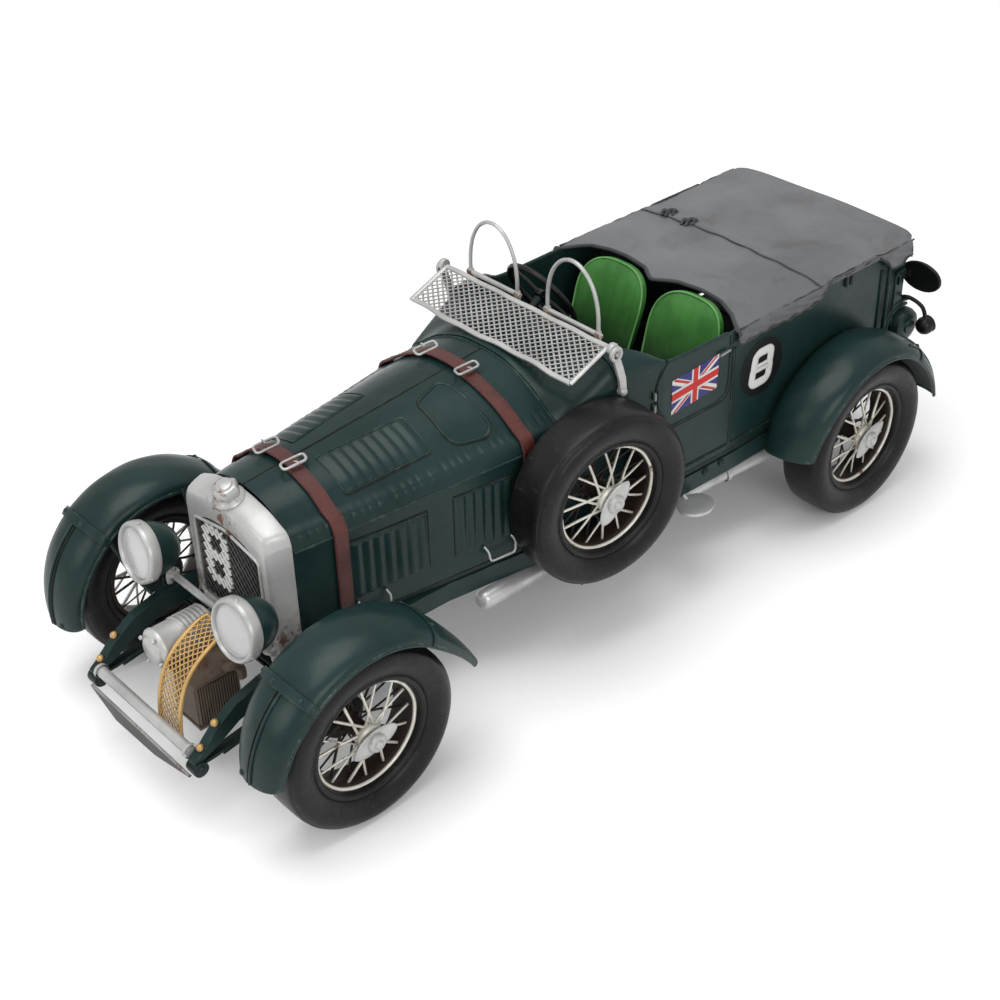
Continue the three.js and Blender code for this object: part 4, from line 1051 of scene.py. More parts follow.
def make_door_trim():
    trim = Shape()
    inner = [(x + (0.9 if x < 50 else -0.9), z + (0.9 if z < 100 else -0.2)) for x, z in DOOR]
    path = rounded([(x, -flank(x, 0.12), z) for x, z in inner], 2.5, 4, loop=False)
    trim.tube(path, 0.42, 7)
    # Black lines round the door and along the panel seams: painted shade where the raised door panel and the
    # seams cast shadow.
    shade_line = Shape()
    path = rounded([(x, -flank(x, 0.0), z) for x, z in DOOR], 2.5, 4, loop=False)
    shade_line.tube(path, 0.5, 7)
    for _, side in SIDES:
        shade_line.tube([(72.9, side * flank(73, 0.0), 51), (72.9, side * flank(73, 0.0), 99)], 0.35, 7)
        low = [(x, side * flank(x, 0.0), 53.4) for x in np.linspace(10, 100, 30)]
        shade_line.tube(low, 0.35, 7)
    piece("body_grooves", shade_line, BLACK, sharp=60)
    for _, side in SIDES:
        trim.tube([(71.9, side * flank(72, 0.05), 51), (71.9, side * flank(72, 0.1), 99)], 0.45, 7)
        low = [(x, side * flank(x, 0.15), 52.6) for x in np.linspace(10, 100, 30)]
        trim.tube(low, 0.5, 7)
    piece("body_beads", trim, GREEN, sharp=60)
    hardware = Shape()
    for z in (89.0, 94.5):
        hardware.tube([(27.0, -flank(28, 0.6), z - 1.6), (27.0, -flank(28, 0.6), z + 1.6)], 0.85, 8)
    hardware.tube([(68.2, -flank(68, 1.2), 99.6), (62.6, -flank(62, 1.5), 99.2)], 0.55, 8)
    piece("door_hinges", hardware, STEEL, sharp=60)
    rivets = Shape()
    for side in (-1, 1):
        for x, z, r in ((44.6, 44.6, 1.5), (58.4, 48.6, 1.25), (68, 48.8, 1.25)):
            y = flank(x, 0.3)
            rivets.lathe([(r + 0.6, -0.2), (r + 0.6, 0.5), (r, 0.9), (0.01, 1.3)], (x, side * y, z - 3.4),
                         (0, side, 0), 6)
    # The bolts are green-painted; their darker green is painted shade low on the sill.
    piece("sill_bolts", rivets, DARK, slot="green_paint", sharp=30)


make_door_trim()


def make_rear_slots():
    """Folded seams behind the rear fenders, with black blocks beside them as painted shade inside the slot
    openings.
    """
    seams = Shape()
    slot_shade = Shape()
    for _, side in SIDES:
        for x, r in ((169.5, 0.9), (175.0, 1.1), (180.5, 0.8)):
            top = 97.5 if x < 178 else 92
            seams.tube([(x, side * flank(x, 0.1), 66), (x, side * flank(x, 0.1), top)], r, 8)
        for x in (172.2, 178.0):
            y0, y1 = sorted((side * flank(x, -0.2), side * flank(x, 0.12)))
            slot_shade.block((x - 0.8, y0, 67), (x + 0.8, y1, 96 if x < 175 else 90))
        y0, y1 = sorted((side * flank(184, 0.0), side * flank(184, 1.6)))
        seams.block((179.5, y0, 91), (185.5, y1, 93))
        seams.block((181.6, y0, 86), (183.2, y1, 91))
    piece("rear_seams", seams, GREEN, sharp=50, bevel=0.25)
    piece("rear_slot_shade", slot_shade, BLACK, sharp=30, bevel=0.1)


make_rear_slots()

# ------------------------------------------------------------------- markings


def flag_layer(shape, polygon, height):
    """Polygon in flag units (2 wide, 1 high) laid on the left door."""
    corners = {(0, 0): (36.7, 81.8), (2, 0): (62.6, 84.0), (2, 1): (63.3, 99.4), (0, 1): (36.6, 97.4)}

    def at(u, v):
        s = u / 2
        bottom = np.array(corners[(0, 0)]) * (1 - s) + np.array(corners[(2, 0)]) * s
        top = np.array(corners[(0, 1)]) * (1 - s) + np.array(corners[(2, 1)]) * s
        x, z = bottom * (1 - v) + top * v
        return x, z

    def front(p):
        x, z = at(*p)
        return (x, -flank(x, height), z)

    def back(p):
        x, z = at(*p)
        return (x, -flank(x, -0.05), z)

    shape.prism(polygon, front, back)


def diagonal(h0, h1, flip, low=0.0, high=1.0):
    """Band along a diagonal of the 2 by 1 flag, from offset h0 to h1, between two shares of its length."""
    k = math.hypot(1, 2) / 2
    points = [(2 * low, low, h0), (2 * high, high, h0), (2 * high, high, h1), (2 * low, low, h1)]
    band = []
    for u, v, h in points:
        band.append((u, v + h * k))
    clipped = []
    for u, v in band:
        if v > 1:
            u, v = u - (v - 1) * 2, 1.0
        if v < 0:
            u, v = u - v * 2, 0.0
        clipped.append((u, v))
    if flip:
        clipped = [(u, 1 - v) for u, v in clipped]
    return clipped


def make_flag():
    blue, white, red = Shape(), Shape(), Shape()
    flag_layer(blue, [(0, 0), (2, 0), (2, 1), (0, 1)], 0.10)
    h = 0.1
    k = math.hypot(1, 2) / 2 * h
    band = [(0, 0), (2 * k, 0), (2, 1 - k), (2, 1), (2 - 2 * k, 1), (0, k)]
    flag_layer(white, band, 0.14)
    flag_layer(white, [(u, 1 - v) for u, v in band], 0.15)
    for flip in (False, True):
        flag_layer(red, diagonal(-0.066, 0.0, flip, 0.03, 0.5), 0.19 + 0.01 * flip)
        flag_layer(red, diagonal(0.0, 0.066, flip, 0.5, 0.97), 0.19 + 0.01 * flip)
    for a, b, target, level in ((1 / 6, 1 / 6, white, 0.24), (0.1, 0.1, red, 0.29)):
        flag_layer(target, [(1 - a, 0), (1 + a, 0), (1 + a, 1), (1 - a, 1)], level)
        flag_layer(target, [(0, 0.5 - b), (2, 0.5 - b), (2, 0.5 + b), (0, 0.5 + b)], level + 0.01)
    piece("flag_blue", blue, BLUE, sharp=30)
    piece("flag_white", white, WHITE, sharp=30)
    piece("flag_red", red, RED, sharp=30)


make_flag()

EIGHT_WIDTH = 14.2
EIGHT_HEIGHT = 18.5
EIGHT_STROKE = 4.3


def eight_strokes(width, height):
    """Centre lines of a plain block figure 8: two rounded loops that share their waist."""
    w, h = width / 2 - EIGHT_STROKE / 2, height / 2 - EIGHT_STROKE / 2
    upper = [(-w, 0.0), (-w, 0.80 * h), (-w * 0.62, h), (w * 0.62, h), (w, 0.80 * h), (w, 0.0)]
    lower = [(u * 1.06, -v) for u, v in upper]
    return upper, lower


def make_eight(centre_x, centre_z, side, lean=0.12):
    figure = Shape()
    upper, lower = eight_strokes(EIGHT_WIDTH, EIGHT_HEIGHT)
    for loop in (upper, lower):
        path = []
        dense = rounded(loop, 1.2, 4)
        for u, v in dense:
            x = centre_x + u * (1 if side < 0 else -1) + v * lean
            path.append((x, side * flank(x, 0.18), centre_z + v))
        figure.tube(path, EIGHT_STROKE / 2, 8, loop=True, flat=0.09, up=(0, 1, 0))
    return figure


def make_numbers():
    for name, side in SIDES:
        x0, z0 = 90.4, 82.4
        disc = Shape()
        outline = [(13.2 * math.cos(a), 13.4 * math.sin(a)) for a in full_turn(48)]
        disc.prism(outline, lambda p: (x0 + p[0], side * flank(x0 + p[0], 0.12), z0 + p[1]),
                   lambda p: (x0 + p[0], side * flank(x0 + p[0], -0.05), z0 + p[1]))
        piece("number_disc_" + name, disc, BLACK, sharp=40)
        piece("race_number_" + name, make_eight(x0, z0, side), WHITE, sharp=50)


make_numbers()

# -------------------------------------------------------------------- fenders

FENDER_CENTRE_Y = 65.5
FENDER_HALF = 12.8
FENDER_EDGE_RADIUS = 39.0
FENDER_CROWN = 5.6
FENDERS = {
    "front_left": (-1, -AXLE_X, 5, 130, 172, 0.0, 0.0), "front_right": (1, -AXLE_X, -5, 130, 172, 0.0, -2.2),
    "rear_left": (-1, AXLE_X, 9, 132, 178, 5.0, 0.0), "rear_right": (1, AXLE_X, 9, 132, 178, 5.0, 0.0),
}


def fender_point(spec, degrees, u, grow=0.0):
    """Point of a fender's skin: degrees round the wheel from the front, u from 0 inboard to 1 outboard."""
    side, wheel_x, start, seam, end, lobe, shift = spec
    past = max(0.0, (degrees - seam) / (end - seam))
    before = max(0.0, 1 - (degrees - start) / 55)
    radius = FENDER_EDGE_RADIUS + 8 * past * past
    half = FENDER_HALF - 4 * past * past - 3.4 * before * before
    crown = FENDER_CROWN - 3.2 * past
    turn = u * math.pi
    across = -(half + grow) * math.cos(turn)
    inward = (1 - across / half) / 2
    reach = radius + grow * 0.6 + (crown + grow) * math.sin(turn) ** 0.85 + lobe * before * inward
    angle = math.radians(degrees)
    y = side * (FENDER_CENTRE_Y + across) + shift
    return (wheel_x - reach * math.cos(angle), y, TYRE_RADIUS + reach * math.sin(angle))


def fender_patch(shape, spec, low, high, u0, u1, grow, thickness, steps=(8, 24)):
    rows = [[fender_point(spec, d, u, grow) for u in np.linspace(u0, u1, steps[1])]
            for d in np.linspace(low, high, steps[0])]
    shape.sheet(rows, thickness)


def make_fenders():
    """The curved fenders over the wheels."""
    for name, spec in FENDERS.items():
        side, _, start, seam, end, _, shift = spec
        node = "fender_" + name
        skin = Shape()
        rows = []
        for d in np.linspace(start, end, 100):
            row = []
            for u in np.linspace(0, 1, 33):
                x, y, z = fender_point(spec, d, u, 0.9)
                beat = 0.10 * math.sin(x * 0.33 + y * 0.2) * math.sin(z * 0.27 + y * 0.4)
                row.append((x, y, z + beat))
            rows.append(row)
        skin.sheet(rows, -1.0 if side > 0 else 1.0)
        for u in (0.0, 1.0):
            edge = [fender_point(spec, d, u, 0.6) for d in np.linspace(start, end, 90)]
            skin.tube(edge, 0.75, 8)
        for d in (start, end):
            edge = [fender_point(spec, d, u, 0.5) for u in np.linspace(0, 1, 30)]
            skin.tube(edge, 0.7, 8)
        piece(node + "_skin", skin, GREEN, "car", [node], sharp=60)
        bands = Shape()
        fender_patch(bands, spec, seam - 1.6, seam + 1.6, 0.0, 1.0, 1.35, -0.5 * side)
        rivets = Shape()
        if name.startswith("front"):
            band = 52
            fender_patch(bands, spec, band - 2.3, band + 2.3, 0.0, 1.0, 1.75, -0.9 * side)
            for u in (0.1, 0.42, 0.74, 0.93):
                here = Vector(fender_point(spec, band, u, 1.6))
                out = (here - Vector(fender_point(spec, band, u, 0.0))).normalized()
                rivets.dome(here, out, 1.15, 0.9)
            ridge = [fender_point(spec, d, 0.53, 1.05) for d in np.linspace(start + 0.5, band - 2, 30)]
            bands.tube(ridge, 0.6, 8)
            # Black line beside the ridge: painted shade in the fender's crease.
            crease = [fender_point(spec, d, 0.49, 1.0) for d in np.linspace(start + 0.5, band - 2, 30)]
            shade_line = Shape().tube(crease, 0.42, 7)
            piece(node + "_groove", shade_line, BLACK, sharp=60)
            here = Vector(fender_point(spec, start + 2, 0.36, 0.8))
            out = (here - Vector(fender_point(spec, start + 2, 0.36, 0.0))).normalized()
            rivets.dome(here, out, 1.3, 1.0)
        else:
            lip = [fender_point(spec, d, 0.78, 1.0) for d in np.linspace(118, end - 1, 40)]
            bands.tube(lip, 0.55, 8)
            rivets.dome(Vector(fender_point(spec, 95, 0.2, 0.8)), Vector((0, 0, 1)), 0.9, 0.6)
        for u in (0.3, 0.7):
            here = Vector(fender_point(spec, seam, u, 1.25))
            out = (here - Vector(fender_point(spec, seam, u, 0.0))).normalized()
            rivets.dome(here, out, 0.9, 0.7)
        piece(node + "_bands", bands, GREEN, sharp=50)
        piece(node + "_rivets", rivets, GREEN, sharp=50)
        stays = Shape()
        if name.startswith("front"):
            stays.tube([(-128, side * 51.6 + shift, 76.5), (-128, side * 44 + shift, 64),
                        (-128, side * 33.6 + shift, 48.6)], 1.15, 10)
            stays.tube([(-161, side * 52 + shift, 66.8), (-158, side * 45 + shift, 55),
                        (-156, side * 33.6, 50.2)], 1.0, 10)
            stays.lathe([(2.2, -0.4), (2.2, 0.5), (0.01, 1.0)], (-128, side * 33.6 + shift, 48.2),
                        (0, 0, 1), 12)
            # The stays are green-painted; their darker green is painted shade under the fenders.
            piece(node + "_stays", stays, DARK, slot="green_paint", sharp=40)


make_fenders()

# ------------------------------------------------------------------- radiator

def shell_outline(half, bottom, shoulder, crown):
    right = [(half, bottom), (half, shoulder - 6), (half - 1.6, shoulder - 1.6), (half - 5, shoulder + 0.4),
             (half * 0.5, (shoulder + 2 * crown) / 3)]
    return right + [(0, crown)] + [(-y, z) for y, z in reversed(right)]


def radiator_ring(x, half, bottom, shoulder, crown, count=64):
    outline = np.array(shell_outline(half, bottom, shoulder, crown))
    curve = smooth_path(outline[1:-1], count - 2)
    points = [outline[0], *curve, outline[-1]]
    return [(x, y, z) for y, z in points]


def make_radiator():
    """Radiator shell and what it carries."""
    bottom = 46.5
    sizes = [(-138.6, 21.0, 86.4, 90.4), (-140.9, 21.0, 86.4, 90.4), (-141.1, 21.3, 86.8, 90.8),
             (-141.1, 23.6, 94.6, 98.8),
             (-140.7, 24.6, 96.4, 100.2), (-139.6, 25.3, 97.2, 101.0), (-136.5, 26.3, 97.9, 102.2),
             (-133, 27.5, 98.0, 103.2),
             (-131.5, 27.6, 97.8, 103.2), (-131.4, 26.2, 96.6, 102.0)]
    rows = [radiator_ring(x, half, bottom, shoulder, crown) for x, half, shoulder, crown in sizes]
    shell = Shape().grid(rows)
    inner = [radiator_ring(x, 21.0, bottom, 86.4, 90.4) for x in (-131.4, -138.6)]
    shell.grid([rows[-1], *inner])
    shell.block((-141.1, -24.4, 46.3), (-131.6, 24.4, 50.3))
    piece("radiator_shell_silver", shell, RADIATOR, "car", ["radiator_shell"], sharp=40)
    lip = Shape()
    opening = rounded([(20.2, 50.6), (20.2, 85.6), (0, 89.6), (-20.2, 85.6), (-20.2, 50.6)], 2.4, 5)
    lip.tube([(-141.0, y, z) for y, z in opening], 0.7, 8, loop=True)
    piece("radiator_lip", lip, RADIATOR, sharp=60)
    # Black plate behind the mesh: painted shade of the radiator shell's hollow inside.
    dark = Shape().block((-138.2, -20.6, 50.2), (-137.6, 20.6, 88))
    piece("radiator_core_shade", dark, BLACK, bevel=0.1)


make_radiator()


def lattice(half_width, low, high, pitch_u, pitch_v, inside, samples=160):
    """Straight wires of a diamond mesh in (u, v), kept where inside(u, v) is true."""
    runs = []
    slope = pitch_v / pitch_u
    reach = (high - low) / slope
    for direction in (1, -1):
        start = -half_width - reach
        while start < half_width + reach:
            us = np.linspace(start, start + reach, samples)
            vs = low + (us - start) * slope
            if direction < 0:
                us = -us
            for kept, part in groupby(zip(us, vs), lambda point: inside(*point)):
                run = list(part)
                if kept and len(run) > 2:
                    runs.append((direction, run))
            start += pitch_u
    return runs


def in_eight(u, v, width, height, stroke):
    """True on the strokes of a block figure 8 centred on (0, 0)."""
    w, h = width / 2, height / 2
    if abs(u) > w or abs(v) > h:
        return False
    if abs(v) < stroke / 2 or abs(v) > h - stroke or abs(u) > w - stroke:
        corner = abs(u) > w - stroke * 0.5 and abs(v) > h - stroke * 0.5
        return not corner
    return False


def make_grille():
    """Wire mesh in front of the radiator."""
    def inside(y, z):
        return abs(y) < 20.3 and 50.8 < z < 89.6 - abs(y) * 0.2

    def painted(y, z):
        return in_eight(y - 10.0, z - 71.5, 16, 27, 4.6)

    black, white = Shape(), Shape()
    for direction, run in lattice(20.3, 50.8, 92.6, 3.2, 3.7, inside):
        depth = -139.3 - 0.22 * direction
        for target, wanted, radius in ((black, False, 0.33), (white, True, 0.62)):
            for is_painted, part in groupby(run, lambda point: painted(*point)):
                ends = list(part)
                if is_painted == wanted and len(ends) > 1:
                    target.tube([(depth, *ends[0]), (depth, *ends[-1])], radius, 6)
    piece("radiator_mesh", black, STEEL_DARK, "car", ["radiator_grille"], sharp=60)
    piece("radiator_number", white, WHITE, sharp=60)


make_grille()


def make_cap():
    """Filler cap on the radiator."""
    low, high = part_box("radiator_cap")
    at = Vector((station((low.x + high.x) / 2), 0, low.z / MM + 0.6))
    axis = Vector((-math.sin(CAP_TILT), 0, math.cos(CAP_TILT)))
    cap = Shape()
    cap.lathe([(0.01, -0.6), (6.0, -0.6), (6.1, 0.3), (5.6, 1.1), (4.6, 1.7), (4.4, 2.4), (0.01, 2.4)], at,
              axis, 40)
    turn = Vector((0, 0, 1)).rotation_difference(axis).to_matrix()
    rows = []
    for radius, height in ((4.9, 2.0), (5.2, 2.5), (5.2, 5.0), (4.7, 5.9), (3.6, 6.3)):
        ring = []
        for k in range(48):
            a = k / 48 * 2 * math.pi
            hexagon = radius * math.cos(math.pi / 6) / math.cos((a % (math.pi / 3)) - math.pi / 6)
            ring.append(tuple(turn @ Vector((hexagon * math.cos(a), hexagon * math.sin(a), height)) + at))
        rows.append(ring)
    cap.grid(rows, loop_v=True)
    base = len(cap.points) - 48
    cap.faces.append(tuple(base + k for k in range(48)))
    cap.lathe([(3.4, 6.0), (3.3, 6.9), (2.4, 7.3), (0.01, 7.4)], at, axis, 32)
    piece("radiator_cap_nut", cap, RADIATOR, "car", ["radiator_cap"], sharp=35)


make_cap()

# ------------------------------------------------------------- lamps and front


def make_lamps():
    """Headlamps and the bar they stand on."""
    for name, side in SIDES:
        low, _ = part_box("headlamp_" + name)
        y = side * 30.8
        face = Vector((station(low.x) + 0.6, y, 73.0))
        axis = Vector((-0.985, side * 0.04, 0.17)).normalized()
        bucket = Shape().lathe([(0.01, -17.6), (3.0, -17.2), (6.2, -15.6), (8.8, -12.6), (10.3, -8.6),
                                (10.9, -4.5),
                                (11.0, -2.6)], face, axis, 64)
        bucket.lathe([(1.4, -18.6), (1.5, -17.8), (0.9, -17.2)], face, axis, 16)
        piece("headlamp_" + name + "_bucket", bucket, GREEN, "car", ["headlamp_" + name], sharp=50)
        ring = Shape().lathe([(10.4, -4.9), (11.3, -5.0), (11.8, -4.5), (12.0, -3.2), (12.05, -1.2),
                              (11.8, -0.1),
                              (11.2, 0.45), (10.5, 0.35), (10.1, -0.3), (10.0, -1.0)], face, axis, 72)
        for k in range(3):
            a = math.radians(90 + 120 * k)
            sideways = axis.cross(Vector((0, 0, 1))).normalized()
            outwards = sideways * math.cos(a) + sideways.cross(axis) * math.sin(a)
            ring.dome(face + outwards * 11.9 - axis * 1.6, outwards, 0.8, 0.7, 10)
        piece("headlamp_" + name + "_rim", ring, SILVER, sharp=50)
        lens = Shape().lathe([(0.01, 0.9), (3.5, 0.75), (7.0, 0.25), (9.2, -0.4), (10.15, -0.9)], face,
                             axis, 64)
        piece("headlamp_" + name + "_lens", lens, LENS, sharp=60)
        stem = Shape().tube([(-150.2, y, 62.5), (-148.4, y, 58.6), (LAMP_BAR_X, y, 56.8)], [2.0, 1.7, 1.5],
                            14)
        stem.lathe([(2.6, -0.6), (2.6, 0.7), (1.6, 1.4)], (LAMP_BAR_X, y, 56.9), (0, 0, 1), 16)
        piece("headlamp_" + name + "_stem", stem, SILVER, sharp=50)
    bar = Shape()
    bar.tube([(LAMP_BAR_X, y, 56.2) for y in np.linspace(-33.5, 33.5, 12)], 1.5, 16)
    for _, side in SIDES:
        bar.tube([(LAMP_BAR_X, side * 33.2, 56.0), (LAMP_BAR_X, side * 34.0, 53.0),
                  (LAMP_BAR_X, side * 34.0, 50.4)], 1.35, 12)
    piece("lamp_bar_silver", bar, SILVER, "car", ["lamp_bar"], sharp=50)


make_lamps()


def make_supercharger():
    centre = Vector((0, 5.0, 50.0))
    casing = Shape()
    profile = [(0.01, 175.4), (4.8, 175.3), (5.6, 174.7), (5.8, 174.0), (7.4, 173.6), (8.0, 172.9),
               (8.1, 171.8), (7.7, 171.2),
               (7.7, 163.5)]
    x = 163.5
    while x > 151.5:
        profile += [(8.15, x - 0.15), (8.15, x - 0.85), (7.35, x - 1.05), (7.35, x - 1.65)]
        x -= 1.8
    profile += [(7.4, 151.0), (5.2, 150.2), (4.2, 148.6), (4.2, 142.2), (0.01, 142.0)]
    casing.lathe(profile, centre, (-1, 0, 0), 56)
    for a in (25, 115, 205, 295):
        r = math.radians(a)
        casing.dome((-174.9, centre.y + 6.6 * math.cos(r), centre.z + 6.6 * math.sin(r)), (-1, 0, 0), 0.9,
                    0.8, 10)
    piece("supercharger_casing_silver", casing, SILVER, "car", ["supercharger_casing"], sharp=40)
    low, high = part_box("supercharger_block")
    x0, x1 = station(low.x), station(high.x)
    z0, z1 = low.z / MM, high.z / MM
    block = Shape()
    block.block((x0 + 1.0, -15.4, z0 + 0.4), (x1 - 0.4, -1.2, z1 - 1.0))
    fins = 17
    for k in range(fins):
        x = x0 + 1.8 + (x1 - x0 - 3.4) * k / (fins - 1)
        block.block((x - 0.32, -16.6, z0 + 1.2), (x + 0.32, -15.0,
                                                  z1 - 1.6 - 1.4 * math.sin(k / fins * math.pi)))
    block.block((x0 + 0.5, -16.9, z1 - 1.9), (x1 + 0.2, -0.8, z1 - 0.1))
    block.block((x0 + 0.5, -16.9, z0 + 0.1), (x1 + 0.2, -0.8, z0 + 1.3))
    piece("supercharger_block_brown", block, BROWN, "car", ["supercharger_block"], bevel=0.2, sharp=30)
    fitting = Shape()
    fitting.tube(smooth_path([(-157.5, -14, 44.5), (-158, -17.0, 46.5), (-156, -18.6, 47.0),
                              (-153.5, -18.8, 44.5), (-153.0, -18.4, 40)], 16), 1.9, 14)
    fitting.lathe([(2.6, -0.8), (2.6, 0.8), (2.0, 1.2), (0.01, 1.2)], (-157.6, -14.4, 44.6), (0, -0.8, 0.6),
                  6)
    piece("supercharger_pipe", fitting, BROWN, sharp=50)


make_supercharger()

GUARD_PATH = [(-154.6, 61.2), (-160.5, 60.0), (-168.5, 55.6), (-174.6, 49.0), (-178.0, 41.0),
              (-179.6, 33.0), (-180.2, 24.6)]


def make_guard():
    fine = smooth_path([(x, 0, z) for x, z in GUARD_PATH], 120)
    steps = np.linalg.norm(np.diff(fine, axis=0), axis=1)
    length = np.concatenate([[0], np.cumsum(steps)])
    total = length[-1]

    def at(s, y):
        return (float(np.interp(s, length, fine[:, 0])), y, float(np.interp(s, length, fine[:, 2])))

    y0, y1 = -18.0, -3.2
    frame_bars = Shape()
    for y in (y0 + 0.8, y1 - 0.8):
        rows = [at(s, y) for s in np.linspace(0, total, 60)]
        frame_bars.tube(rows, 0.85, 8)
    for s in (0.6, total - 0.6):
        frame_bars.tube([at(s, y) for y in np.linspace(y0 + 0.8, y1 - 0.8, 6)], 0.75, 8)
    piece("stone_guard_frame", frame_bars, BRASS, "car", ["stone_guard"], sharp=60)
    mesh = Shape()
    mid, half = (y0 + y1) / 2, (y1 - y0) / 2 - 0.9

    def inside(u, v):
        return abs(u) < half and 0.6 < v < total - 0.6

    for direction, run in lattice(half, 0.0, total, 2.6, 3.0, inside, samples=220):
        path = [at(v, mid + u) for u, v in run[::4] + [run[-1]]]
        path = [(x - 0.18 * direction, y, z) for x, y, z in path]
        mesh.tube(path, 0.30, 6)
    piece("stone_guard_mesh", mesh, BRASS, sharp=60)


make_guard()


def leaf(shape, arch, y, inset, rise, width, thickness):
    """One leaf of a spring, shortened at both ends and set above or below the arch."""
    curve = smooth_path(arch, 80)
    path = []
    for x in np.linspace(arch[0][0] + inset, arch[-1][0] - inset, 26):
        path.append((x, y, float(np.interp(x, curve[:, 0], curve[:, 1])) + rise))
    ribbon(shape, path, width, thickness, across=(0, 1, 0))


def make_front_end():
    bolts = Shape()
    for _, side in SIDES:
        for x, z, nx in ((-181.9, 33.6, -0.75), (-174.8, 40.8, -0.7)):
            bolts.dome((x, side * FRONT_SPRING_Y, z), (nx, 0, 0.66), 1.5, 1.3, 14)
    piece("dumb_iron_bolts", bolts, BRASS, sharp=50)
    tube = Shape()
    tube.tube([(CROSS_TUBE_X, y, 31) for y in np.linspace(-30.2, 30.2, 10)], 2.2, 20)
    for y in (-29.4, 29.4):
        tube.lathe([(2.9, -0.7), (2.9, 0.7)], (CROSS_TUBE_X, y, 31), (0, 1, 0), 20)
    piece("front_cross_tube_silver", tube, SILVER, "car", ["front_cross_tube"], sharp=50)
    eyes = Shape()
    for _, side in SIDES:
        y = side * FRONT_SPRING_Y
        eyes.lathe([(0.01, -3.6), (1.4, -3.5), (1.6, -2.9), (3.0, -2.8), (3.1, -2.0), (3.1, 2.0),
                    (3.0, 2.8), (1.6, 2.9), (1.4, 3.5), (0.01, 3.6)],
                   (CROSS_TUBE_X, y, 26.0), (0, 1, 0), 24)
    piece("spring_eyes", eyes, DARK, sharp=45)
    for name, side in SIDES:
        leaves = Shape()
        y = side * FRONT_SPRING_Y
        arch = [(-184, 26.6), (-176, 27.0), (-160, 29.2), (-137.5, 30.6), (-115, 31.6), (-99, 33.0)]
        for k, inset in enumerate((0.0, 10.0, 20.0, 30.0)):
            leaf(leaves, arch, y, inset, 1.0 - 1.25 * k, 4.6 - 0.2 * k, 1.1)
        for x in (-150, -137.5, -125):
            leaves.block((x - 1.4, y - 2.7, 26.0), (x + 1.4, y + 2.7, 32.6))
        leaves.tube([(-99, y, 33.2), (-96, y, 34.5), (-95.5, y, 38.0)], 1.8, 10)
        piece("front_leaf_spring_" + name + "_leaves", leaves, DARK, "car", ["front_leaf_spring_" + name],
              sharp=40)


make_front_end()


def make_axles():
    """Axles and the parts that join them to the wheels."""
    beam = Shape()
    end = 54.6
    path = smooth_path([(-AXLE_X, -end, 35.6), (-AXLE_X, -44, 35.3), (-AXLE_X, -30, 34.6),
                        (-AXLE_X, 0, 34.4), (-AXLE_X, 30, 34.6),
                        (-AXLE_X, 44, 35.3), (-AXLE_X, end, 35.6)], 40)
    for dz, w in ((1.55, 4.6), (-1.55, 4.6), (0.0, 1.8)):
        ribbon(beam, [(p[0], p[1], p[2] + dz) for p in path], w, 1.2 if dz else 2.6, across=(1, 0, 0))
    beam.tube([(-AXLE_X + 6, y, 33.5) for y in np.linspace(-52, 52, 6)], 0.9, 10)
    piece("front_axle_beam_forged", beam, DARK, "car", ["front_axle_beam"], sharp=40)
    for name, side in SIDES:
        drum = Shape()
        centre = (-AXLE_X, side * KNUCKLE_Y, TYRE_RADIUS)
        drum.lathe([(0.01, -0.5), (8.1, -0.5), (8.6, 0.0), (8.6, 1.0), (8.0, 1.4), (7.4, 1.1), (4.6, 1.2),
                    (4.2, 1.8), (0.01, 1.8)],
                   centre, (0, side, 0), 48)
        drum.tube([(-AXLE_X, side * KNUCKLE_Y, z) for z in (29.8, 43.4)], 1.75, 14)
        piece("steering_knuckle_" + name + "_drum", drum, DARK, "front_" + name + "_knuckle",
              ["steering_knuckle_" + name], sharp=40)
    rear = Shape()
    rear.lathe([(0.01, -58.5), (3.2, -58.5), (3.3, -20), (4.2, -11), (7.4, -8.4), (9.4, -4.2), (9.7, 0),
                (9.4, 4.2), (7.4, 8.4), (4.2, 11),
                (3.3, 20), (3.2, 58.5), (0.01, 58.5)], (AXLE_X, 0, TYRE_RADIUS), (0, 1, 0), 40)
    for _, side in SIDES:
        rear.lathe([(0.01, -0.2), (8.1, -0.2), (8.6, 0.3), (8.6, 2.2), (8.0, 2.6), (7.4, 2.2), (0.01, 2.4)],
                   (AXLE_X, side * 56.0, TYRE_RADIUS), (0, side, 0), 48)
        y = side * REAR_SPRING_Y
        arch = [(92.6, 37.0), (98, 36.0), (104, 35.0), (AXLE_X, 34.9), (168, 36.9), (174, 40.4),
                (177.4, 41.4)]
        for k, inset in enumerate((0.0, 11.0, 21.0, 30.0)):
            leaf(rear, arch, y, inset, -0.1 - 1.15 * k, 4.2, 1.0)
        for x in (AXLE_X - 5, AXLE_X + 5):
            rear.block((x - 1.2, y - 2.6, 30.4), (x + 1.2, y + 2.6, 36.2))
    piece("rear_axle_set", rear, DARK, "car", ["rear_axle"], sharp=40)


make_axles()

# -------------------------------------------------------------------- screens

SCREEN_LENGTH = 22.2
SCREEN_HALF = 47.0
SCREEN_PIVOT = (5.0, 124.0)
SCREEN_DROP = math.radians(22.2)


def screen_place(s, y, out=0.0):
    """Point on the folded screen: s forwards from its pivots, out above its face."""
    x = SCREEN_PIVOT[0] - s * math.cos(SCREEN_DROP) - out * math.sin(SCREEN_DROP)
    z = SCREEN_PIVOT[1] - s * math.sin(SCREEN_DROP) + out * math.cos(SCREEN_DROP)
    return (x, y, z)


def screen_edge(y):
    """The lower edge of the screen bows back and has two worn steps."""
    return SCREEN_LENGTH - 0.45 + 0.5 * math.sin(y * 0.09) + 0.25 * math.sin(y * 0.31)


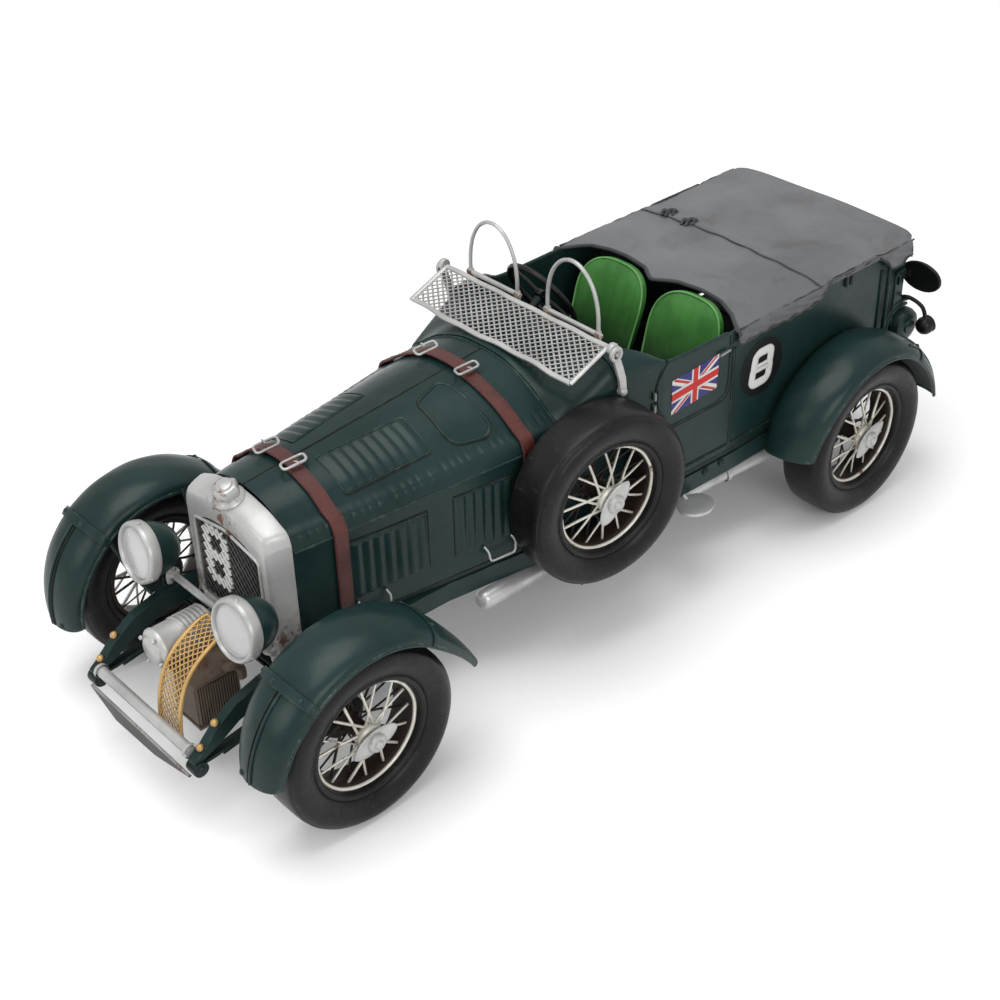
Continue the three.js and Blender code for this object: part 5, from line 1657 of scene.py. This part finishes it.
def make_screen():
    bars = Shape()
    far, near = SCREEN_HALF - 1.2, -SCREEN_HALF + 1.2
    top = [screen_place(0.4 + 0.15 * math.sin(y * 0.3), y, 0.25) for y in np.linspace(far, near, 40)]
    bottom = [screen_place(screen_edge(y) - 0.9, y, 0.2) for y in np.linspace(far, near, 40)]
    ribbon_on_screen(bars, top, 2.3, 1.1)
    ribbon_on_screen(bars, bottom, 2.3, 1.0)
    for y in (far, near):
        side_bar = [screen_place(s, y, 0.2) for s in np.linspace(0.2, SCREEN_LENGTH - 0.8, 14)]
        bars.tube(side_bar, 1.15, 8, flat=0.55, up=(0.3, 0, 1))
    for side in (-1, 1):
        pivot = (SCREEN_PIVOT[0], side * 48.2, SCREEN_PIVOT[1])
        bars.lathe([(0.01, -1.2), (2.3, -1.2), (2.5, -0.6), (2.5, 0.6), (2.2, 1.1), (1.2, 1.2), (1.1, 1.7),
                    (0.01, 1.8)], pivot,
                   (0, side, 0), 24)
    piece("mesh_screen_bars", bars, SILVER, "mesh_screen", ["mesh_screen"], sharp=50)
    wires = Shape()

    def inside(u, v):
        return abs(u) < SCREEN_HALF - 1.6 and 0.8 < v < screen_edge(u) - 1.2

    for direction, run in lattice(SCREEN_HALF, 0.0, SCREEN_LENGTH, 3.35, 2.75, inside, samples=120):
        a, b = run[0], run[-1]
        if math.hypot(a[0] - b[0], a[1] - b[1]) < 0.6:
            continue
        path = [screen_place(a[1], a[0], 0.13 * direction), screen_place(b[1], b[0], 0.13 * direction)]
        wires.tube(path, 0.43, 6, flat=0.7, up=(0.4, 0, 1))
    piece("mesh_screen_wires", wires, SILVER, "mesh_screen", sharp=60)


def ribbon_on_screen(shape, path, width, thickness):
    across = np.array((-math.cos(SCREEN_DROP), 0, -math.sin(SCREEN_DROP)))
    ribbon(shape, path, width, thickness, across=across)


make_screen()


def make_arms():
    for name, side in SIDES:
        arm = Shape()
        inner, outer = side * 48.9, side * 50.1
        blade = [(3.4, 121.6), (6.9, 121.2), (8.6, 116.5), (10.6, 110), (11.2, 104.2), (10.6, 102.4),
                 (8.8, 102.2), (7.9, 103.4),
                 (7.3, 109), (5.2, 116)]
        arm.prism(finer(rounded(blade, 1.0, 3), 2), lambda p: (p[0], inner, p[1]),
                  lambda p: (p[0], outer, p[1]))
        disc_z = SCREEN_PIVOT[1] - 1.8
        arm.lathe([(0.01, -0.1), (3.0, -0.1), (3.2, 0.3), (3.2, 1.0), (2.9, 1.4), (1.8, 1.4), (1.7, 1.1),
                   (0.01, 1.1)],
                  (SCREEN_PIVOT[0] + 0.3, side * 49.0, disc_z), (0, side, 0), 28)
        arm.lathe([(0.01, -1.6), (1.5, -1.6), (1.6, 1.2), (1.2, 1.6), (0.01, 1.7)],
                  (9.4, side * 49.4, 104.2), (0, side, 0), 16)
        bolt = Shape().lathe([(0.01, 0.0), (1.25, 0.0), (1.3, 0.5), (0.9, 0.8), (0.01, 0.85)],
                             (SCREEN_PIVOT[0] + 0.3, side * 50.05, disc_z), (0, side, 0), 6)
        piece("screen_arm_" + name + "_bolt", bolt, STEEL, sharp=30)
        piece("screen_arm_" + name + "_bar", arm, SILVER, "car", ["screen_arm_" + name], sharp=45)


make_arms()


def make_aero():
    for name, _ in SIDES:
        low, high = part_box("aero_screen_" + name)
        y0, y1 = low.y / MM, high.y / MM
        yc, half = (y0 + y1) / 2, (y1 - y0) / 2 - 1.6
        base, top = low.z / MM + 1.2, high.z / MM - 0.9
        x = station((low.x + high.x) / 2)
        loop = [(x, yc - half, base)]
        loop += [(x, yc - half, z) for z in np.linspace(base + 2, base + 8, 4)]
        arch = top - (base + 8)
        for a in np.linspace(math.pi, 0, 26)[1:-1]:
            loop.append((x, yc + half * math.cos(a), base + 8 + arch * math.sin(a) ** 0.92))
        loop += [(x, yc + half, z) for z in np.linspace(base + 8, base + 2, 4)]
        loop += [(x, yc + half, base)]
        glass = Shape()
        glass.tube(loop, 0.82, 10)
        for s in (-1, 1):
            y = yc + s * half
            glass.tube([(x, y, base - 1.0), (x, y, base + 5.2)], 1.25, 10)
        glass.tube([(x, yc - half - 1.6, base + 3.8), (x, yc + half + 1.6, base + 3.8)], 1.05, 10)
        piece("aero_screen_" + name + "_loop", glass, SILVER, "car", ["aero_screen_" + name], sharp=50)
        rust = Shape()
        for s in (-1, 1):
            rust.lathe([(1.45, -1.0), (1.75, 0.0), (1.45, 1.0)], (x, yc + s * half, base + 3.6), (0, 0, 1),
                       14)
            rust.block((x - 1.6, yc + s * half - 1.5, base - 1.6), (x + 1.4, yc + s * half + 1.5, base - 0.6))
        piece("aero_screen_" + name + "_joints", rust, RUSTY, sharp=40, bevel=0.2)


make_aero()

# ------------------------------------------------------------- cockpit pieces


def make_steering_wheel():
    """Steering wheel in the cockpit."""
    low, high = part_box("steering_wheel")
    centre = Vector((35.0, 22.0, (low.z + high.z) / 2 / MM))
    ring_radius = (high.y - low.y) / 2 / MM - 1.3
    rake = math.radians(30)
    axis = Vector((math.cos(rake), 0, math.sin(rake)))
    turn = wheel_turn(axis)
    wheel = Shape()
    ring = put([(ring_radius * math.cos(a), ring_radius * math.sin(a), 0) for a in full_turn(64)], turn,
               centre)
    wheel.tube(ring, 1.3, 12, loop=True)
    for k in range(4):
        a = math.pi / 4 + k * math.pi / 2
        ends = put([(2.0 * math.cos(a), 2.0 * math.sin(a), -0.2), (9 * math.cos(a), 9 * math.sin(a), 0.3),
                    (16.7 * math.cos(a), 16.7 * math.sin(a), 0)], turn, centre)
        wheel.tube(ends, [1.25, 1.0, 0.85], 10, flat=0.7)
    wheel.lathe([(0.01, -1.5), (3.0, -1.5), (3.2, 0.4), (2.4, 1.2), (0.01, 1.5)], centre, axis, 28)
    for k in range(8):
        a = k / 8 * 2 * math.pi + 0.2
        grip = put([(18.1 * math.cos(a), 18.1 * math.sin(a), 0.0)], turn, centre)[0]
        wheel.dome(grip, turn @ Vector((math.cos(a), math.sin(a), 0)), 0.5, 0.3, 8)
    piece("steering_wheel_black", wheel, BLACK, "steering_wheel", ["steering_wheel"], sharp=50)
    column = Shape()
    start = centre - axis * 1.9
    end = centre - axis * 33
    column.tube([tuple(start), tuple(start.lerp(end, 0.2)), tuple(end)], [1.9, 1.4, 1.4], 16)
    piece("steering_column_bar", column, DARK, "car", ["steering_column"], sharp=50)


make_steering_wheel()


def make_dials():
    """Round dials of the instrument panel."""
    dials, faces, marks = Shape(), Shape(), Shape()
    x = 5.25
    for y, z, r in ((0, 98, 6.2), (-14.5, 96, 4.6), (-27, 93, 4.0), (12.5, 92, 3.6), (32, 92.5, 4.4)):
        dials.lathe([(r + 0.8, -0.2), (r + 0.8, 0.8), (r + 0.2, 1.3), (r - 0.3, 0.9), (r - 0.3, 0.2)],
                    (x, y, z), (1, 0, 0), 32)
        faces.lathe([(r, -0.2), (r, 0.4), (0.01, 0.45)], (x, y, z), (1, 0, 0), 32)
        marks.tube([(x + 0.55, y, z), (x + 0.55, y + r * 0.5, z + r * 0.55)], 0.16, 5)
        for k in range(10):
            a = math.radians(-130 + 260 * k / 9)
            p0 = (x + 0.5, y + (r - 1.5) * math.sin(a), z + (r - 1.5) * math.cos(a))
            p1 = (x + 0.5, y + (r - 0.6) * math.sin(a), z + (r - 0.6) * math.cos(a))
            marks.tube([p0, p1], 0.12, 4)
    piece("dial_rims", dials, SILVER, sharp=50)
    piece("dial_faces", faces, BLACK, sharp=50)
    piece("dial_marks", marks, WHITE, sharp=50)


make_dials()

SEAT_HALF = 18.6
SEAT_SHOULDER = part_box("seat_left")[1].z / MM - 16.4
SEAT_RISE = 16.4
SEAT_SQUARENESS = 0.7
SEAT_LEAN = 0.35
SEAT_FRONT = 40.9


def seat_width(z):
    """Half width of a seat back at a height."""
    if z <= SEAT_SHOULDER:
        return SEAT_HALF - 1.8 * (1 - (z - 62) / (SEAT_SHOULDER - 62))
    lift = min(1.0, (z - SEAT_SHOULDER) / SEAT_RISE) ** (1 / SEAT_SQUARENESS)
    return SEAT_HALF * max(0.0, 1 - lift * lift) ** (0.5 * SEAT_SQUARENESS)


def seat_face(z, share):
    """x of a seat back's front face; it is hollowed, so its edges (share 1) stand forwards."""
    return SEAT_FRONT + SEAT_LEAN * z + 0.4 - 2.8 * abs(share) ** 2.4


def make_seats():
    """Seats in the cockpit."""
    heights = SEAT_SHOULDER + SEAT_RISE - 64
    for name, side in SIDES:
        seat_low, seat_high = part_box("seat_" + name)
        yc = (seat_low.y + seat_high.y) / 2 / MM
        pad = Shape()
        front_rows, back_rows = [], []
        for v in 1 - (1 - np.linspace(0, 1, 46)) ** 1.6:
            z = 64 + heights * v * 0.9985
            width = max(seat_width(z), 0.4)
            front, back = [], []
            for u in np.sin(np.linspace(-math.pi / 2, math.pi / 2, 51)):
                share = u * width / SEAT_HALF
                crown = 1.15 * max(0.0, 1 - abs(u) ** 4) * min(1.0, (1 - v) * 9) ** 0.5
                pleat = 0.32 * abs(math.sin(share * math.pi * 3.0)) ** 0.5 * min(1.0, (1 - v) * 6)
                x = seat_face(z, share)
                sag = 0.18 * math.sin(z * 0.31 + share * 3 + side)
                front.append((x - crown * 0.9 - pleat + 0.5 + sag, yc + width * u, z))
                back.append((x + 2.6 + 0.6 * abs(share) ** 2, yc + width * u, z))
            front_rows.append(front)
            back_rows.append(back)
        pad.between(front_rows, back_rows)
        back_pad = piece("seat_back_" + name, pad, SEAT, "car", ["seat_" + name], sharp=70)
        edge = Shape()
        outline = []
        zs = list(np.linspace(64, SEAT_SHOULDER, 14)) + [SEAT_SHOULDER + SEAT_RISE *
                                                         math.sin(a) ** SEAT_SQUARENESS
                                                          for a in np.linspace(0.05, math.pi / 2, 26)]
        half = [(seat_width(z), z) for z in zs]
        for y, z in [(-w, z) for w, z in half] + [(w, z) for w, z in half[::-1]]:
            outline.append((seat_face(z, y / SEAT_HALF) + 0.3, yc + y, z + 0.25))
        edge.tube(outline, 0.45, 8)
        piece("seat_piping_" + name, edge, PIPING, sharp=60)
        cushion = Shape()
        rows_top, rows_low = [], []
        for s in np.linspace(0, 1, 30):
            x = 39.9 + 22.6 * s
            top, low = [], []
            for u in np.linspace(-1, 1, 31):
                round_off = (1 - abs(u) ** 5) * (1 - abs(2 * s - 1) ** 6)
                dimple = 0.3 * abs(math.sin(u * math.pi * 3.0)) ** 0.5
                top.append((x, yc + 16.4 * u, 65.2 + 3.0 * max(round_off,
                                                               0) ** 0.5 - dimple * (round_off > 0.1)))
                low.append((x, yc + 16.4 * u, 61.0))
            rows_top.append(top)
            rows_low.append(low)
        cushion.between(rows_top, rows_low)
        seat_pad = piece("seat_cushion_" + name, cushion, SEAT, sharp=70)
        plinth = Shape().block((41.5, yc - 14, 49.8), (61.5, yc + 14, 61.2))
        piece("seat_plinth_" + name, plinth, DARK, bevel=0.6, sharp=30)


make_seats()

# -------------------------------------------------------------------- tonneau

TONNEAU_FRONT = [(-53.2, 72.6), (-50, 73.8), (-43, 78.8), (-34, 82.4), (-22, 83.4), (-10, 82.0), (-3, 78.2),
                 (0, 76.8),
                 (3, 78.4), (8, 81.8), (20, 83.4), (30, 83.2), (40, 81.4), (46, 77.2), (50, 73.4),
                 (53.2, 72.0)]
TONNEAU_REAR = 190.4
FLAP_BOTTOM = [(71.5, 100.9), (76, 100.2), (90, 100.7), (104, 100.1), (117, 100.6), (122, 101.2),
               (126, 103.4), (130, 106.2),
               (137, 107.2), (150, 107.4), (160, 107.2), (164.5, 105.6), (168, 102.6), (172, 98.6),
               (176, 97.2), (180, 98.4),
               (184, 99.6), (190.6, 100.2)]


def tonneau_height(x, y):
    crown = 109.9 - 3.2 * (abs(y) / 53) ** 3.2
    sag = 0.35 * math.sin(x * 0.055) * math.cos(y * 0.05) + 0.2 * math.sin(x * 0.21 + y * 0.13)
    valley = -0.5 * math.exp(-((x - 124) / 1.6) ** 2)
    hump = 0.4 * math.exp(-((x - 127) / 2.2) ** 2)
    lift = -0.9 * math.exp(-((x - 74) / 5) ** 2)
    return crown + sag + valley + hump + lift


def tonneau_row(f):
    """One line across the cover from the left flap's hem over the top to the right flap's hem."""
    across = []
    bends = 9
    flap = 12
    half = 52.6

    def x_at(y):
        front = float(np.interp(y, [p[0] for p in TONNEAU_FRONT], [p[1] for p in TONNEAU_FRONT]))
        corner = max(0.0, (abs(y) - 44) / 9.0)
        rear = TONNEAU_REAR - 5.0 * corner ** 2.4
        return front + (rear - front) * f

    for side in (-1, 1):
        part = []
        x = x_at(side * half)
        bottom = along(FLAP_BOTTOM, x) + 0.35 * math.sin(x * 0.9)
        tuck = window(x, 131, 163, 4.0) * 1.3
        for k in range(flap):
            z = bottom + (105.6 - bottom) * k / flap
            z = min(z, 106.4)
            ripple = 0.22 * math.sin(x * 0.5 + k)
            part.append((x, side * (half + 0.45 - tuck + ripple), z))
        for k in range(bends):
            a = k / (bends - 1) * math.pi / 2
            y = half - 2.2 + 2.4 * math.cos(a) - tuck * math.cos(a)
            z = 105.8 + (tonneau_height(x, half - 2.2) - 105.8) * math.sin(a)
            part.append((x, side * y, z))
        across.append(part)
    left, right = across
    top = []
    for y in np.linspace(-half + 2.8, half - 2.8, 90):
        x = x_at(y)
        top.append((x, y, tonneau_height(x, y)))
    return left + top + right[::-1]


def make_tonneau():
    """Canvas cover behind the seats."""
    rows = [tonneau_row(f) for f in np.linspace(0, 1, 130)]
    last = rows[-1]
    for k, drop in enumerate((0.5, 1.6, 3.2, 5.2, 7.4)):
        rows.append([(x + 0.5 + 0.12 * k, y * (1 - 0.001 * k), max(z - drop, min(z, 99.5))) for x, y,
                     z in last])
    cloth = Shape().sheet(rows, -0.7)
    cover = piece("tonneau_cloth", cloth, CANVAS, "car", ["tonneau_cover"], sharp=70)
    hem = Shape()
    front = rows[0]
    hem.tube([(x, y, z - 0.2) for x, y, z in front[10:-10]], 0.85, 8)
    fold = []
    for y in np.linspace(-52, 52, 80):
        fold.append((124.9 + 0.3 * math.sin(y * 0.4), y, tonneau_height(125, y) + 0.1))
    hem.tube(fold, 0.5, 8, flat=0.6)
    for side in (0, -1):
        line = [row[side] for row in rows[:130]]
        hem.tube([(x, y, z + 0.1) for x, y, z in line], 0.5, 7)
    hems = piece("tonneau_hem", hem, HEM_AND_SHADE, sharp=60)
    knots = Shape()
    for x, y in ((127.5, 37.0), (126.0, 23.5)):
        z = tonneau_height(x, y) + 0.5
        for u0, v0, u1, v1 in ((-4, -1.2, 4, 1.4), (-3, 2.4, 3.4, -2.2), (-4.4, 0.8, 1, 3.0),
                               (-1, -3.0, 4.2, -0.4)):
            knots.tube(smooth_path([(x + u0, y + v0, z - 0.4), (x + (u0 + u1) / 2, y + (v0 + v1) / 2,
                                                                z + 0.9),
                                    (x + u1, y + v1, z - 0.4)], 9), 0.62, 8)
    knot_piece = piece("tonneau_buckles", knots, HEM_AND_SHADE, sharp=60)
    seam = Shape()
    for _, side in SIDES:
        path = []
        for x in np.linspace(74, 188, 100):
            tuck = window(x, 131, 163, 4.0) * 1.3
            path.append((x, side * (51.9 - tuck), 106.6 + 0.15 * math.sin(x * 0.7)))
        seam.tube(path, 0.42, 7)
    seam_piece = piece("tonneau_side_seam", seam, HEM_AND_SHADE, sharp=60)
    # Two dark upright bars on each side under the tucked-in cover edge: painted shade of the cover's
    # underside.
    patches = Shape()
    for _, side in SIDES:
        for x in (143.5, 146.6):
            patches.tube([(x, side * 51.0, 99.5), (x, side * 51.2, 106.4)], 0.8, 8)
    piece("cover_edge_shade", patches, HEM_AND_SHADE, sharp=60)


make_tonneau()

# ----------------------------------------------------------------------- rear


def make_rear_floor_shade():
    """Dark sheet behind the floor pan, carrying the floor on: painted shade under the rear of the body."""
    strip = Shape()
    strip.sheet([[(x, y, 49.95) for y in np.linspace(-47, 47, 9)] for x in (160, 168, 176, 185)], -0.5)
    piece("rear_floor_shade", strip, DARK, sharp=50)


make_rear_floor_shade()


def make_exhaust():
    """Exhaust pipe, the oval step plate and the spare wheel's cradle."""
    pipe = Shape()
    pipe.lathe([(0.01, 0.0), (2.6, 0.0), (3.6, 0.7), (4.2, 2.2), (4.2, 36.0), (3.8, 38.2), (2.7, 40.0),
                (2.6, 41.0), (0.01, 41.0)],
               (-58.2, -41, 34.6), (1, 0, 0), 40)
    pipe.tube(smooth_path([(-20, -41.3, 35.4), (20, -44.6, 35.6), (60, -48.0, 35.8), (92, -50.7, 36.0),
                           (99, -51.3, 36.0)], 30), 2.7, 20)
    for x in (-14, 28, 74):
        y = -41 - (x + 26) * 10.2 / 125
        pipe.lathe([(3.3, -1.1), (3.3, 1.1)], (x, y, 35.7), (1, -0.08, 0), 20)
    piece("exhaust_silver", pipe, STEEL_LIGHT, "car", ["exhaust_pipe"], sharp=45)
    plate = Shape()
    rows = []
    shares = (0.01, 0.5, 0.9, 1.0, 1.02, 1.0, 0.9, 0.01)
    heights = (38.5, 38.45, 38.3, 38.1, 37.4, 36.8, 36.6, 36.6)
    for r, z in zip(shares, heights):
        rows.append([(46 + 8.4 * r * math.cos(a), -57.6 + 7.0 * r * math.sin(a), z) for a in full_turn(40)])
    plate.grid(rows, loop_v=True, flip=True)
    plate.tube([(46, -53, 37.2), (46, -50.5, 38.6), (46, -48.6, 41.5)], 1.2, 10)
    piece("step_plate_oval", plate, STEEL_LIGHT, "car", ["step_plate"], sharp=50)
    cradle = Shape()
    cradle.block((-19.5, -57.5, 31.0), (-2.5, -46.4, 33.8))
    cradle.block((-14, -46.9, 31.2), (-7, -46.2, 39.6))
    cradle.tube(smooth_path([(-16, -57.8, 32), (-11, -60.4, 34.6), (-6, -59.6, 33.6), (-2, -57.6, 32)], 12),
                1.3, 10)
    cradle.tube(smooth_path([(8, -47.8, 40), (9, -52, 35), (3, -57, 32.6), (-3, -57.4, 32.6)], 14), 1.5, 10)
    piece("spare_cradle_bracket", cradle, BLACK, "car", ["spare_cradle"], bevel=0.4, sharp=40)


make_exhaust()


def make_tail():
    low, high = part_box("fuel_tank")
    radius = 8.0
    at = (station(high.x) - radius, 0, high.z / MM - radius)
    half = (high.y - low.y) / 2 / MM
    tank = Shape()
    profile = [(0.01, -half), (3.2, -half + 0.1), (3.4, -half + 0.9), (5.4, -half + 1.1),
               (7.2, -half + 1.8), (radius, -half + 3.6)]
    for y in (-24, 24):
        profile += [(radius, y - 1.8), (radius + 0.45, y - 1.7), (radius + 0.45, y + 1.7), (radius, y + 1.8)]
    profile += [(r, -y) for r, y in reversed(profile[:6])]
    tank.lathe(profile, at, (0, 1, 0), 48)
    tank.lathe([(0.01, 3.0), (2.4, 2.9), (2.6, 2.2), (2.6, 0), (3.2, -0.4)],
               (at[0] + 2, 12, at[2] + radius - 0.6), (0, 0, 1), 20)
    for side in (-1, 1):
        y0, y1 = sorted((side * 47.6, side * 49.8))
        tank.block((180.3, y0, low.z / MM), (187.2, y1, at[2] - 1))
        for r in (10.2, 12.4):
            arch = [(at[0] - 1 - r * math.cos(a), side * 49.9, at[2] + r * 0.96 * math.sin(a))
                    for a in np.linspace(-0.3, 1.9, 24)]
            tank.tube(arch, 0.85, 8)
    piece("fuel_tank_green", tank, GREEN, "car", ["fuel_tank"], sharp=40)
    plate = Shape()
    rows = []
    low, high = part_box("number_plate")
    plate_z, half_z = (low.z + high.z) / 2 / MM, (high.z - low.z) / 2 / MM
    for r, x in ((0.01, 191.2), (0.86, 191.2), (0.93, 190.9), (1.0, 191.3), (1.0, 192.3), (0.93, 192.6),
                 (0.86, 192.2), (0.01, 192.2)):
        rows.append([(x, -55.5 + 10.5 * r * math.cos(a), plate_z + half_z * r * math.sin(a))
                     for a in full_turn(40)])
    plate.grid(rows, loop_v=True)
    plate.block((187.3, -50, plate_z - 1.5), (191.4, -46, plate_z + 1.5))
    piece("number_plate_blank", plate, BLACK, "car", ["number_plate"], sharp=45, bevel=0.15)
    lamp = Shape()
    lamp.lathe([(0.01, -4.2), (1.8, -3.8), (3.3, -2.6), (4.1, -0.8), (4.1, 0.9), (3.6, 2.1), (3.9, 2.3),
                (3.9, 3.0), (3.0, 3.6), (0.01, 4.0)],
               (193.0, -60, 65), (0.9, -0.2, 0.1), 32)
    lamp.tube(smooth_path([(187.2, -46, 76), (189.5, -52, 77.5), (192, -58, 74), (193, -60, 68)], 20), 0.95,
              10)
    lamp.lathe([(2.0, -0.3), (2.0, 0.8), (0.01, 1.1)], (187.1, -46, 76), (1, 0, 0), 14)
    piece("tail_lamp_ball", lamp, BLACK, "car", ["tail_lamp"], sharp=45)


make_tail()


def make_blade_edge():
    """Rubbed bright edge along the top of the splash blade."""
    low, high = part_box("splash_blade")
    x = station(low.x) + 0.6
    edge = [(x, 27.6 - 64.2 * f, high.z / MM - f - 0.1) for f in np.linspace(0, 1, 24)]
    worn = Shape().tube(edge, 0.62, 8)
    piece("splash_blade_edge", worn, STEEL, slot="dark_paint", sharp=60)


make_blade_edge()

# --------------------------------------------------- CAD nodes that stay shown

for node, material in {
    "chassis_rail_left": GREEN, "chassis_rail_right": GREEN, "floor_pan": DARK, "splash_blade": BLACK,
    "dashboard": BROWN, "body_side_left": GREEN, "body_side_right": GREEN, "door_left": GREEN,
                       "rear_panel": GREEN,
}.items():
    holder = frame["nodes"][node]
    holder.data.materials.clear()
    holder.data.materials.append(material)

# ---------------------------------------------------------- floor and lighting


def make_stage():
    """Lights and surroundings of the renders."""
    floor_tree = Tree("floor_white")
    shade = floor_tree.mix(floor_tree.noise(3, 2), (0.90, 0.90, 0.90), (0.885, 0.885, 0.885))
    floor_material = floor_tree.finish(shade, 0.9)
    mesh = bpy.data.meshes.new("floor")
    size = 6.0
    mesh.from_pydata([(-size, -size, 0), (size, -size, 0), (size, size, 0), (-size, size, 0)], [],
                     [(0, 1, 2, 3)])
    floor = bpy.data.objects.new("floor", mesh)
    bpy.context.scene.collection.objects.link(floor)
    mesh.materials.append(floor_material)
    sky = bpy.data.worlds.new("studio")
    sky.use_nodes = True
    background = sky.node_tree.nodes["Background"]
    background.inputs["Color"].default_value = (1, 1, 1, 1)
    background.inputs["Strength"].default_value = 0.72
    bpy.context.scene.world = sky
    bpy.context.scene.view_settings.view_transform = "Standard"

    def softbox(name, at, target, width, height, power):
        data = bpy.data.lights.new(name, "AREA")
        data.shape = "RECTANGLE"
        data.size, data.size_y = width, height
        data.energy = power
        light = bpy.data.objects.new(name, data)
        bpy.context.scene.collection.objects.link(light)
        light.location = at
        light.rotation_mode = "QUATERNION"
        light.rotation_quaternion = (Vector(target) - Vector(at)).to_track_quat("-Z", "Y")

    softbox("top_box", (-0.2, 0.1, 1.5), (0, 0, 0), 1.1, 1.1, 14)
    softbox("left_box", (-0.5, -1.5, 0.9), (0, 0, 0.05), 1.0, 0.7, 9)
    softbox("front_box", (-1.6, 0.2, 0.9), (0, 0, 0.05), 0.7, 0.7, 5)


make_stage()
